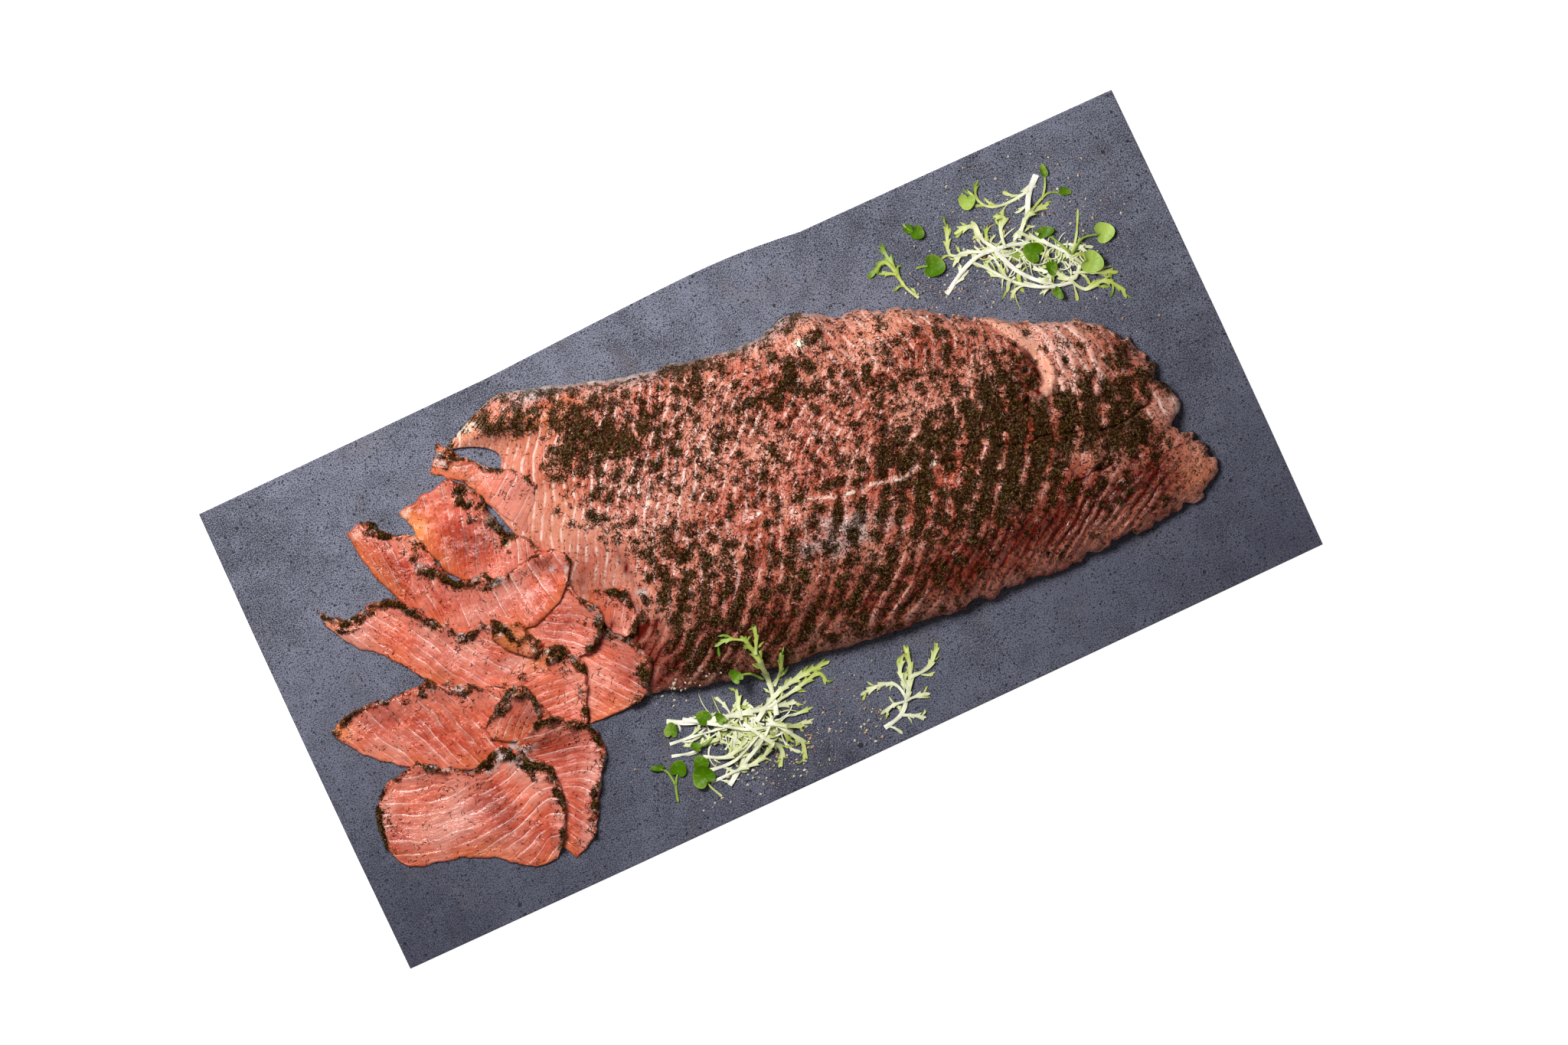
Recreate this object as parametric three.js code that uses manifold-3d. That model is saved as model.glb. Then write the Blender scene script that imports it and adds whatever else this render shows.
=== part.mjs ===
// A grey stone slab that carries a cured side of salmon, sliced from one end, and two small salad heaps.
// Millimetres: +X along the slab, +Y towards its back edge, +Z up, z = 0 on the slab's underside.
import * as THREE from "three";
import { mergeVertices } from "three/addons/utils/BufferGeometryUtils.js";
import Module from "manifold-3d";

const wasm = await Module();
wasm.setup();

// Driving dimensions of the slab
const SLAB = { length: 600, width: 300, thickness: 10, bevel: 0.8, bow: 1 };
const BACK_SWELL = [[96, 150.6], [62, 154], [25, 155], [-30, 153.4], [-110, 150.2]];

// Driving dimensions of the salmon side: the height of its rim and how far each edge takes to round over
const SIDE = { rim: 3, bellyRoll: 62, backRoll: 24, tailRoll: 45, columns: 48, rows: 21 };
const FOLD = { centre: [168, 28], radius: 24, depth: 5, width: 6.5, spread: 1.4 };
const WAVE = { height: 1.1, lengthX: 25, lengthY: 18 };
const TUFT = {
  count: 60, radius: [5, 10], slimness: [0.45, 0.8], height: [1.3, 2.2],
  spacing: 17, margin: 14, cutMargin: 62,
};

// Driving dimensions of a slice: the coated edge is thick, the skin edge thin
const SLICE = { coated: 4.2, middle: 3.1, skin: 1.6, ripple: 0.35, pitch: 10.5 };

// Driving dimensions of the salad: strips of curly endive and round cress leaves
const STRIP = { thickness: 1.6, tipShare: 0.4, step: 13, tooth: 4.4, toothTurn: 0.9, toothRoot: 0.6 };
const LEAF = { thickness: 0.7, sides: 9, notch: 0.28, notchSpread: 0.5, lift: 0.66, wave: 0.44 };
const CORE = { height: 5, sides: 11, profile: [[0, 0], [1, 0], [0.82, 0.55], [0.42, 0.9], [0, 1]] };

// Spaces: the gap between separate pieces, and how deep fused pieces sink into each other
const GAP = 0.3;
const SINK = 1;

// Fineness: the height grid's pitch and reach in cells, samples along a facet, and how near points merge
const CELL = 2;
const CELL_REACH = 1.5;
const FACET_SAMPLES = 5;
const MERGE = 1e-3;
const WELD = 0.03;
const SEED = { tufts: 7, ripple: 11 };

const COLOURS = {
  stone: { color: 0x63656f, roughness: 0.72 },
  salmon: { color: 0xb9634c, roughness: 0.38 },
  slice: { color: 0xdd7557, roughness: 0.34 },
  endive: { color: 0xdfe3a6, roughness: 0.5 },
  cress: { color: 0x4f8a2c, roughness: 0.45 },
};

// Seeded random numbers from 0 to 1, so that each build draws the same.
function seededRandom(seed) {
  let state = seed;
  return () => {
    state = (Math.imul(state, 1664525) + 1013904223) >>> 0;
    return state / 2 ** 32;
  };
}

const { lerp, clamp } = THREE.MathUtils;

// A smooth curve of one number over another through a few knots, level beyond its ends.
function through(knots) {
  const places = knots.map((knot) => knot[0]);
  const values = knots.map((knot) => knot[1]);
  const curve = new THREE.CubicInterpolant(places, values, 1, new Float64Array(1));
  return (place) => curve.evaluate(place)[0];
}

// A smooth line in plan through a few points.
function splineThrough(points) {
  return new THREE.SplineCurve(points.map((p) => new THREE.Vector2(...p)));
}

// A quarter round: 0 at an edge, 1 at one roll's width inside it.
function rounded(share) {
  const inside = clamp(share, 0, 1);
  return Math.sqrt(1 - (1 - inside) ** 2);
}

// A slanted face: 0 at its foot, easing to 1 at its top.
function sloped(share) {
  return Math.sin(clamp(share, 0, 1) * Math.PI * 0.5);
}

// A geometry from points and triangles, turned to face outwards.
function geometryOf(points, triangles) {
  let volume = 0;
  for (let i = 0; i < triangles.length; i += 3) {
    const [a, b, c] = [0, 1, 2].map((k) => points[triangles[i + k]]);
    volume += a.dot(b.clone().cross(c));
  }
  const outward = volume < 0 ? triangles.slice().reverse() : triangles;
  return new THREE.BufferGeometry().setFromPoints(points).setIndex(outward);
}

// The places round the border of a grid, in order.
function borderOf(columns, rows) {
  const along = Array.from({ length: columns }, (_, i) => i);
  const up = Array.from({ length: rows }, (_, j) => j);
  return [
    ...along.map((i) => [i, 0]),
    ...up.map((j) => [columns, j]),
    ...along.map((i) => [columns - i, rows]),
    ...up.map((j) => [0, rows - j]),
  ];
}

// The two triangles of each cell of a grid whose point numbers the function gives.
function gridTriangles(columns, rows, number) {
  const triangles = [];
  for (let i = 0; i < columns; i += 1) {
    for (let j = 0; j < rows; j += 1) {
      const corner = number(i, j);
      const across = number(i + 1, j + 1);
      triangles.push(corner, number(i + 1, j), across, corner, across, number(i, j + 1));
    }
  }
  return triangles;
}

// A closed sheet: top and underside are alike grids of points, joined round the border.
function sheetGeometry(top, under) {
  const columns = top.length - 1;
  const rows = top[0].length - 1;
  const size = (columns + 1) * (rows + 1);
  const number = (i, j) => i * (rows + 1) + j;
  const upper = gridTriangles(columns, rows, number);
  const lower = upper.map((n) => n + size).reverse();
  const border = borderOf(columns, rows).map(([i, j]) => number(i, j));
  const rim = border.flatMap((p, k) => {
    const q = border[(k + 1) % border.length];
    return [p, p + size, q + size, p, q + size, q];
  });
  return geometryOf([...top.flat(), ...under.flat()], [...upper, ...lower, ...rim]);
}

// A mound with a flat floor: a grid of points for its top, an upright rim and one level face below.
function moundGeometry(top, floor) {
  const columns = top.length - 1;
  const rows = top[0].length - 1;
  const number = (i, j) => i * (rows + 1) + j;
  const size = (columns + 1) * (rows + 1);
  const border = borderOf(columns, rows);
  const foot = border.map(([i, j]) => new THREE.Vector3(top[i][j].x, top[i][j].y, floor));
  const rim = border.flatMap(([i, j], k) => {
    const next = (k + 1) % border.length;
    const p = number(i, j);
    const q = number(...border[next]);
    return [p, size + k, size + next, p, size + next, q];
  });
  const flat = foot.map((p) => new THREE.Vector2(p.x, p.y));
  const under = THREE.ShapeUtils.triangulateShape(flat, []).flatMap(([a, b, c]) => [c, b, a]);
  const upper = gridTriangles(columns, rows, number);
  return geometryOf([...top.flat(), ...foot], [...upper, ...rim, ...under.map((n) => n + size)]);
}

// A closed skin over a row of alike sections, with flat ends.
function loftGeometry(sections) {
  const sides = sections[0].length;
  const last = (sections.length - 1) * sides;
  const triangles = [];
  for (let k = 0; k + 1 < sections.length; k += 1) {
    for (let s = 0; s < sides; s += 1) {
      const a = k * sides + s;
      const b = k * sides + ((s + 1) % sides);
      triangles.push(a, b, b + sides, a, b + sides, a + sides);
    }
  }
  for (let s = 1; s + 1 < sides; s += 1) {
    triangles.push(0, s + 1, s, last, last + s, last + s + 1);
  }
  return geometryOf(sections.flat(), triangles);
}

// A closed geometry as a solid that can be joined to others.
function solidOf(geometry) {
  const bare = new THREE.BufferGeometry();
  bare.setAttribute("position", geometry.getAttribute("position"));
  bare.setIndex(geometry.index);
  const merged = mergeVertices(bare, MERGE);
  const vertProperties = merged.getAttribute("position").array;
  const triVerts = new Uint32Array(merged.index.array);
  return new wasm.Manifold(new wasm.Mesh({ numProp: 3, vertProperties, triVerts }));
}

// Several closed geometries joined into one body. Scraps that touch nothing and sealed hollows drop out.
function fuse(geometries) {
  const joined = geometries.map(solidOf).reduce((whole, piece) => whole.add(piece)).simplify(WELD);
  const bodies = joined.decompose().sort((a, b) => b.volume() - a.volume());
  const mesh = bodies[0].getMesh();
  const geometry = new THREE.BufferGeometry();
  geometry.setAttribute("position", new THREE.BufferAttribute(mesh.vertProperties, 3));
  return geometry.setIndex(new THREE.BufferAttribute(mesh.triVerts, 1));
}

// The height of what lies on the slab, kept on a square grid.
class HeightField {
  constructor() {
    this.columns = Math.round(SLAB.length / CELL) + 1;
    this.rows = Math.round(SLAB.width / CELL) + 1;
    this.heights = new Float64Array(this.columns * this.rows).fill(SLAB.thickness);
  }

  // The grid places from just before to just after a stretch, along one axis.
  span(from, to, half, count) {
    const first = clamp(Math.floor((from + half) / CELL), 0, count - 1);
    const last = clamp(Math.ceil((to + half) / CELL), 0, count - 1);
    return [first, last];
  }

  // The greatest height within reach of a place.
  highest(x, y, reach = 0) {
    const [i0, i1] = this.span(x - reach, x + reach, SLAB.length / 2, this.columns);
    const [j0, j1] = this.span(y - reach, y + reach, SLAB.width / 2, this.rows);
    let height = 0;
    for (let i = i0; i <= i1; i += 1) {
      for (let j = j0; j <= j1; j += 1) {
        const away = Math.hypot(i * CELL - SLAB.length / 2 - x, j * CELL - SLAB.width / 2 - y);
        if (away < reach + CELL_REACH * CELL) {
          height = Math.max(height, this.heights[i * this.rows + j]);
        }
      }
    }
    return height;
  }

  // How high a separate piece has to lie to stay clear there: on the bare slab it touches.
  clear(x, y, reach = 0) {
    const height = this.highest(x, y, reach);
    return height > SLAB.thickness ? height + GAP : SLAB.thickness;
  }

  // Raises the grid places inside one triangle to its plane, and those beside its corners.
  coverTriangle({ a, b, c }) {
    const [xs, ys] = [[a.x, b.x, c.x], [a.y, b.y, c.y]];
    const [i0, i1] = this.span(Math.min(...xs), Math.max(...xs), SLAB.length / 2, this.columns);
    const [j0, j1] = this.span(Math.min(...ys), Math.max(...ys), SLAB.width / 2, this.rows);
    const area = (b.x - a.x) * (c.y - a.y) - (c.x - a.x) * (b.y - a.y);
    for (let i = i0; i <= i1; i += 1) {
      for (let j = j0; j <= j1; j += 1) {
        const x = i * CELL - SLAB.length / 2;
        const y = j * CELL - SLAB.width / 2;
        const toB = ((x - a.x) * (c.y - a.y) - (c.x - a.x) * (y - a.y)) / area;
        const toC = ((b.x - a.x) * (y - a.y) - (x - a.x) * (b.y - a.y)) / area;
        if (toB >= 0 && toC >= 0 && toB + toC <= 1) {
          this.raise(i, j, a.z + toB * (b.z - a.z) + toC * (c.z - a.z));
        }
      }
    }
    for (const corner of [a, b, c]) {
      for (const i of this.span(corner.x, corner.x, SLAB.length / 2, this.columns)) {
        for (const j of this.span(corner.y, corner.y, SLAB.width / 2, this.rows)) {
          this.raise(i, j, corner.z);
        }
      }
    }
  }

  raise(i, j, height) {
    const place = i * this.rows + j;
    this.heights[place] = Math.max(this.heights[place], height);
  }

  cover(geometry) {
    const position = geometry.getAttribute("position");
    const triangle = new THREE.Triangle();
    for (let i = 0; i < geometry.index.count; i += 3) {
      const corners = [0, 1, 2].map((k) => geometry.index.getX(i + k));
      triangle.setFromAttributeAndIndices(position, ...corners);
      this.coverTriangle(triangle);
    }
  }
}

const ground = new HeightField();

// The slab: straight edges that bow out a little, and a low swell along the back edge. Its faces lie level.
function slabGeometry() {
  const x = SLAB.length / 2 - SLAB.bow;
  const y = SLAB.width / 2 - SLAB.bow;
  const outline = new THREE.Shape();
  outline.moveTo(-x, -y);
  outline.quadraticCurveTo(0, -y - 2 * SLAB.bow, x, -y);
  outline.quadraticCurveTo(x + 2 * SLAB.bow, 0, x, y);
  outline.lineTo(...BACK_SWELL[0]);
  outline.splineThru(BACK_SWELL.slice(1).map((p) => new THREE.Vector2(...p)));
  outline.lineTo(-x, y);
  outline.quadraticCurveTo(-x - 2 * SLAB.bow, 0, -x, -y);
  const geometry = new THREE.ExtrudeGeometry(outline, {
    depth: SLAB.thickness - 2 * SLAB.bevel,
    curveSegments: 4,
    bevelThickness: SLAB.bevel,
    bevelSize: SLAB.bevel,
    bevelOffset: -SLAB.bevel,
    bevelSegments: 1,
  });
  const position = geometry.translate(0, 0, SLAB.bevel).getAttribute("position");
  for (let i = 0; i < position.count; i += 1) {
    position.setZ(i, Math.round(position.getZ(i) / MERGE) * MERGE);
  }
  return geometry;
}

// The four corners of the salmon side as it lies, and the four edges between them: back and belly as y at x,
// cut end and tail end as x at y.
const CORNER = { cutBelly: [-107, -60], tailBelly: [235, -96], cutBack: [-150, 122], tailBack: [250, 0] };
const turned = ([x, y]) => [y, x];
const backEdge = through([
  CORNER.cutBack, [-118, 137], [-80, 131], [-40, 117.5], [0, 110], [40, 103.5], [78, 106],
  [90, 97], [120, 89], [160, 66], [178, 56], [206, 42], [232, 26], CORNER.tailBack,
]);
const bellyEdge = through([
  CORNER.cutBelly, [-60, -72], [0, -82], [60, -90], [130, -95], [200, -97], CORNER.tailBelly,
]);
const cutEnd = through([
  turned(CORNER.cutBelly), [-35, -111], [0, -113], [22, -119], [38, -125], [55, -132], [75, -138],
  [88, -140], [97, -126], [104, -122], [112, -127], [118, -138], turned(CORNER.cutBack),
]);
const tailEnd = through([
  turned(CORNER.tailBelly), [-85, 257], [-72, 261], [-58, 258], [-50, 250], [-44, 255], [-25, 254],
  turned(CORNER.tailBack),
]);
const sideThickness = through([[-150, 8], [-125, 16], [-95, 27], [-60, 30], [120, 30], [200, 24], [260, 18]]);
const cutRun = through([[-60, 34], [-10, 44], [45, 52], [75, 58], [100, 50], [125, 46]]);

// The height of the salmon side's top over the slab's underside: a body that rounds over towards its back,
// belly and tail, runs down the slanted cut, waves a little and has one deep fold near the tail.
function sideTop(x, y) {
  const body = rounded((y - bellyEdge(x)) / SIDE.bellyRoll)
    * rounded((backEdge(x) - y) / SIDE.backRoll)
    * rounded((tailEnd(y) - x) / SIDE.tailRoll)
    * sloped((x - cutEnd(y)) / cutRun(y));
  const wave = WAVE.height * Math.sin(x / WAVE.lengthX) * Math.cos(y / WAVE.lengthY);
  const [fx, fy] = [x - FOLD.centre[0], y - FOLD.centre[1]];
  const across = (Math.hypot(fx, fy) - FOLD.radius) / FOLD.width;
  const along = Math.atan2(fy, fx) / FOLD.spread;
  const fold = FOLD.depth * Math.exp(-(across ** 2) - along ** 4);
  return SLAB.thickness + SIDE.rim + body * (sideThickness(x) - SIDE.rim + wave - fold);
}

// A place in the salmon side's plan: its four edges blended into one patch, u from cut to tail and
// v from belly to back.
function sidePlan(u, v) {
  const [cutBelly, tailBelly, cutBack, tailBack] = Object.values(CORNER);
  const bellyX = lerp(cutBelly[0], tailBelly[0], u);
  const backX = lerp(cutBack[0], tailBack[0], u);
  const cutY = lerp(cutBelly[1], cutBack[1], v);
  const tailY = lerp(tailBelly[1], tailBack[1], v);
  const belly = [bellyX, bellyEdge(bellyX)];
  const back = [backX, backEdge(backX)];
  const cut = [cutEnd(cutY), cutY];
  const tail = [tailEnd(tailY), tailY];
  return [0, 1].map((k) => {
    const low = lerp(cutBelly[k], tailBelly[k], u);
    const high = lerp(cutBack[k], tailBack[k], u);
    return lerp(belly[k], back[k], v) + lerp(cut[k], tail[k], u) - lerp(low, high, v);
  });
}

// A low tuft of chopped dill at a place on the salmon side, longer one way than the other.
function tuftGeometry(x, y, random) {
  const radius = lerp(...TUFT.radius, random() ** 2);
  const height = lerp(...TUFT.height, random());
  const tuft = new THREE.IcosahedronGeometry(1, 0);
  tuft.scale(radius, radius * lerp(...TUFT.slimness, random()), height);
  tuft.rotateZ(random() * Math.PI);
  tuft.translate(x, y, sideTop(x, y));
  tuft.deleteAttribute("normal");
  tuft.deleteAttribute("uv");
  return mergeVertices(tuft);
}

// The salmon side with its dill tufts: they lie apart, clear of the edges and of the slanted cut.
function salmonSideGeometry() {
  const random = seededRandom(SEED.tufts);
  const top = Array.from({ length: SIDE.columns + 1 }, (_, i) =>
    Array.from({ length: SIDE.rows + 1 }, (__, j) => {
      const [x, y] = sidePlan(i / SIDE.columns, j / SIDE.rows);
      return new THREE.Vector3(x, y, sideTop(x, y));
    }),
  );
  const places = [];
  while (places.length < TUFT.count) {
    const [x, y] = sidePlan(random(), random());
    const inside = x - cutEnd(y) > TUFT.cutMargin
      && tailEnd(y) - x > TUFT.margin
      && backEdge(x) - y > TUFT.margin
      && y - bellyEdge(x) > 2 * TUFT.margin;
    const apart = places.every(([px, py]) => Math.hypot(px - x, py - y) > TUFT.spacing);
    if (inside && apart) places.push([x, y]);
  }
  const tufts = places.map(([x, y]) => tuftGeometry(x, y, random));
  return fuse([moundGeometry(top, SLAB.thickness), ...tufts]);
}

// The slices from the lowest to the topmost: each lies between its coated edge and its skin edge,
// both drawn from the free tip to the end that other pieces hide. One thins out to a share of its thickness.
const SLICES = [
  {
    coated: [[-106, -13], [-95, -28], [-93, -46], [-100, -58], [-107, -64]],
    skin: [[-130, -18], [-137, -42], [-140, -63]],
  },
  {
    coated: [[-108, 8], [-94, 6], [-87, 0], [-88, -14], [-92, -24]],
    skin: [[-111, 2], [-109, -8], [-106, -17], [-100, -24]],
  },
  {
    coated: [[-152, 127], [-141, 112], [-131, 103], [-118, 93], [-109, 80]],
    skin: [[-165, 113], [-150, 101], [-143, 88], [-136, 73], [-128, 58]],
    endShare: 0.3,
  },
  {
    coated: [[-209, 103], [-201, 91], [-187, 83], [-184, 72], [-180, 58]],
    skin: [[-225, 102], [-224, 90], [-220, 72], [-213, 52], [-205, 40]],
  },
  {
    coated: [[-159, 106], [-150, 100], [-144, 89], [-146, 76], [-141, 64], [-131, 50], [-124, 37]],
    skin: [[-190, 99], [-188, 88], [-184, 70], [-177, 51], [-164, 34]],
  },
  {
    coated: [[-117, 20], [-113, 8], [-106, -3], [-111, -16], [-124, -25]],
    skin: [[-143, 20], [-152, 9], [-154, -4], [-146, -14], [-135, -23]],
  },
  {
    coated: [[-196, 68], [-186, 60], [-176, 49], [-162, 44], [-148, 40], [-130, 43], [-114, 40], [-109, 31]],
    skin: [[-212, 48], [-206, 36], [-194, 22], [-174, 14], [-150, 5], [-131, 9], [-117, 20]],
  },
  {
    coated: [
      [-260, 66], [-246, 56], [-228, 58], [-213, 53], [-201, 37], [-187, 20], [-170, 18], [-152, 4],
      [-146, -8],
    ],
    skin: [[-259, 57], [-249, 40], [-234, 26], [-223, 10], [-209, -7], [-190, -22], [-170, -34], [-150, -38]],
  },
  {
    coated: [[-152, -8], [-137, -13], [-129, -27], [-134, -46], [-141, -62]],
    skin: [[-176, -16], [-178, -28], [-176, -45], [-170, -62]],
  },
  {
    coated: [[-169, 18], [-160, 14], [-151, 3], [-147, -8]],
    skin: [[-172, 8], [-168, 0], [-162, -7], [-154, -12]],
  },
  {
    coated: [
      [-281, 0], [-266, 4], [-240, 2], [-216, 1], [-203, -8], [-188, -14], [-174, -25], [-164, -35],
      [-160, -48],
    ],
    skin: [[-281, -6], [-275, -16], [-262, -30], [-243, -44], [-215, -58], [-190, -62], [-170, -60]],
  },
  {
    coated: [[-199, -38], [-186, -29], [-172, -22], [-163, -33], [-165, -46]],
    skin: [[-197, -47], [-186, -53], [-174, -52]],
  },
  {
    coated: [[-168, -46], [-152, -52], [-141, -62], [-138, -78], [-146, -92], [-156, -107], [-164, -124]],
    skin: [[-190, -58], [-191, -75], [-189, -95], [-188, -115], [-182, -131]],
  },
  {
    coated: [
      [-281, -72], [-278, -57], [-270, -46], [-255, -41], [-238, -43], [-226, -52], [-212, -57],
      [-196, -52], [-184, -62], [-174, -72], [-171, -88], [-178, -108], [-187, -122],
    ],
    skin: [[-281, -80], [-274, -93], [-255, -100], [-238, -104], [-222, -114], [-206, -126], [-192, -127]],
  },
];

// The plan of a slice as a grid of points between its two edges.
function slicePlan({ coated, skin }) {
  const [edge, hem] = [coated, skin].map(splineThrough);
  const middle = edge.getPointAt(0.5).distanceTo(hem.getPointAt(0.5));
  const columns = Math.max(4, Math.round(Math.max(edge.getLength(), hem.getLength()) / SLICE.pitch));
  const rows = Math.max(3, Math.round(middle / SLICE.pitch));
  return Array.from({ length: columns + 1 }, (_, i) => {
    const [near, far] = [edge, hem].map((curve) => curve.getPointAt(i / columns));
    return Array.from({ length: rows + 1 }, (__, j) => near.clone().lerp(far, j / rows));
  });
}

// Lifts the three corners of a facet until every point sampled on it clears what lies below.
function liftFacet(corners) {
  for (let a = 0; a <= FACET_SAMPLES; a += 1) {
    for (let b = 0; a + b <= FACET_SAMPLES; b += 1) {
      const weights = [a, b, FACET_SAMPLES - a - b].map((n) => n / FACET_SAMPLES);
      const point = new THREE.Vector3();
      corners.forEach((corner, k) => point.addScaledVector(corner, weights[k]));
      const lack = ground.clear(point.x, point.y) - point.z;
      const share = lack / weights.reduce((sum, w) => sum + w * w, 0);
      if (lack > 0) corners.forEach((corner, k) => corner.setZ(corner.z + share * weights[k]));
    }
  }
}

// Lays a plan on what is already there: it bridges small hollows and stays clear everywhere.
function drape(plan) {
  const columns = plan.length - 1;
  const rows = plan[0].length - 1;
  const under = plan.map((line) => line.map((p) => new THREE.Vector3(p.x, p.y, ground.clear(p.x, p.y))));
  for (let i = 1; i < columns; i += 1) {
    for (let j = 0; j <= rows; j += 1) {
      const bridge = (under[i - 1][j].z + under[i + 1][j].z) / 2;
      under[i][j].z = Math.max(under[i][j].z, bridge);
    }
  }
  const points = under.flat();
  const triangles = gridTriangles(columns, rows, (i, j) => i * (rows + 1) + j);
  for (let t = 0; t < triangles.length; t += 3) {
    liftFacet([0, 1, 2].map((k) => points[triangles[t + k]]));
  }
  return under;
}

// One slice: a draped sheet, thick at its coated edge and thin at its skin edge, with a slight ripple.
function sliceGeometry(outline, random) {
  const under = drape(slicePlan(outline));
  const columns = under.length - 1;
  const rows = under[0].length - 1;
  const { endShare = 1 } = outline;
  const across = through([[0, SLICE.coated], [0.3, SLICE.middle], [0.7, SLICE.middle], [1, SLICE.skin]]);
  const top = under.map((line, i) =>
    line.map((p, j) => {
      const thickness = across(j / rows) + SLICE.ripple * (2 * random() - 1);
      return new THREE.Vector3(p.x, p.y, p.z + thickness * lerp(1, endShare, i / columns));
    }),
  );
  const geometry = sheetGeometry(top, under);
  ground.cover(geometry);
  return geometry;
}

// Salad pieces that are joined as they are laid, each sunk a little into those below it.
class SaladHeap {
  constructor() {
    this.pieces = [];
    this.laid = new HeightField();
  }

  add(geometry) {
    this.pieces.push(geometry);
    this.laid.cover(geometry);
  }

  // The height of a new piece's underside: in touch with this heap and clear of everything else.
  rest(x, y, reach) {
    const below = this.laid.highest(x, y);
    const sunk = below > SLAB.thickness ? below - SINK : SLAB.thickness;
    return Math.max(ground.clear(x, y, reach), sunk);
  }

  // A low uneven mound under the strips.
  core([x, y], [radiusX, radiusY], turn) {
    const profile = CORE.profile.map((p) => new THREE.Vector2(...p));
    const mound = new THREE.LatheGeometry(profile, CORE.sides);
    mound.rotateX(Math.PI / 2).scale(radiusX, radiusY, CORE.height);
    mound.rotateZ(turn).translate(x, y, SLAB.thickness);
    mound.deleteAttribute("normal");
    mound.deleteAttribute("uv");
    this.add(mergeVertices(mound, MERGE));
  }

  // A strip of endive or a stem along a route from its root to its tip, with small side teeth where asked.
  strip({ route, width, tip = width * STRIP.tipShare, toothed = false }) {
    const curve = splineThrough(route);
    const steps = Math.max(2, Math.round(curve.getLength() / STRIP.step));
    const places = Array.from({ length: steps + 1 }, (_, k) => curve.getPointAt(k / steps));
    const heights = places.map((p) => this.rest(p.x, p.y, STRIP.step / 2));
    for (let k = 1; k < steps; k += 1) {
      heights[k] = Math.max(heights[k], (heights[k - 1] + heights[k + 1]) / 2);
    }
    const sections = places.map((p, k) => {
      const aim = curve.getTangentAt(k / steps);
      return this.section(p, heights[k], aim, lerp(width, tip, (k / steps) ** 2));
    });
    const teeth = toothed ? places.slice(1, -1).map((p, k) => {
      const turn = k % 2 ? STRIP.toothTurn : -STRIP.toothTurn;
      const aim = curve.getTangentAt((k + 1) / steps).rotateAround(new THREE.Vector2(), turn);
      const end = p.clone().addScaledVector(aim, STRIP.tooth + width / 2);
      const height = heights[k + 1];
      const endHeight = Math.max(height, this.rest(end.x, end.y, 1));
      const root = this.section(p, height, aim, width * STRIP.toothRoot);
      return loftGeometry([root, this.section(end, endHeight, aim, tip)]);
    }) : [];
    [loftGeometry(sections), ...teeth].forEach((piece) => this.add(piece));
  }

  // A strip's section across its aim: flat below, with a ridge along its middle.
  section(place, height, aim, width) {
    const side = new THREE.Vector2(-aim.y, aim.x);
    const corner = (share, rise) => {
      const p = place.clone().addScaledVector(side, share * width);
      return new THREE.Vector3(p.x, p.y, height + rise);
    };
    return [corner(-0.5, 0), corner(0.5, 0), corner(0, STRIP.thickness)];
  }

  // A round cress leaf, notched where its stem meets it, its rim lifted in a slow wave.
  leaf({ centre: [x, y], radius, stem = 0, slim = 1 }) {
    const height = this.rest(x, y, radius);
    const rim = Array.from({ length: LEAF.sides }, (_, k) => {
      const angle = (k / LEAF.sides) * 2 * Math.PI;
      const reach = radius * (1 - LEAF.notch * Math.exp(-((angle / LEAF.notchSpread) ** 2)));
      const wave = LEAF.lift + LEAF.wave * Math.cos(2 * angle);
      const place = new THREE.Vector2(reach * Math.cos(angle), slim * reach * Math.sin(angle));
      place.rotateAround(new THREE.Vector2(), stem);
      return new THREE.Vector3(x + place.x, y + place.y, height + wave);
    });
    const middle = new THREE.Vector3(x, y, height);
    const under = [middle, ...rim];
    const top = under.map((p) => p.clone().setZ(p.z + LEAF.thickness));
    const size = under.length;
    const triangles = rim.flatMap((_, k) => {
      const a = 1 + k;
      const b = 1 + ((k + 1) % LEAF.sides);
      return [0, a, b, size, size + b, size + a, a, size + a, size + b, a, size + b, b];
    });
    this.add(geometryOf([...under, ...top], triangles));
  }

  // The pieces as one body, which the next pieces then have to clear.
  finish() {
    const geometry = fuse(this.pieces);
    ground.cover(geometry);
    return geometry;
  }
}

// A heap of curly endive and cress: cores first, then strips, then leaves, then the stems that run into them.
function saladGeometry({ cores = [], strips = [], leaves = [], stems = [] }) {
  const heap = new SaladHeap();
  cores.forEach(({ centre, radii, turn }) => heap.core(centre, radii, turn));
  strips.forEach((strip) => heap.strip(strip));
  leaves.forEach((leaf) => heap.leaf(leaf));
  stems.forEach((stem) => heap.strip(stem));
  return heap.finish();
}

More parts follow.
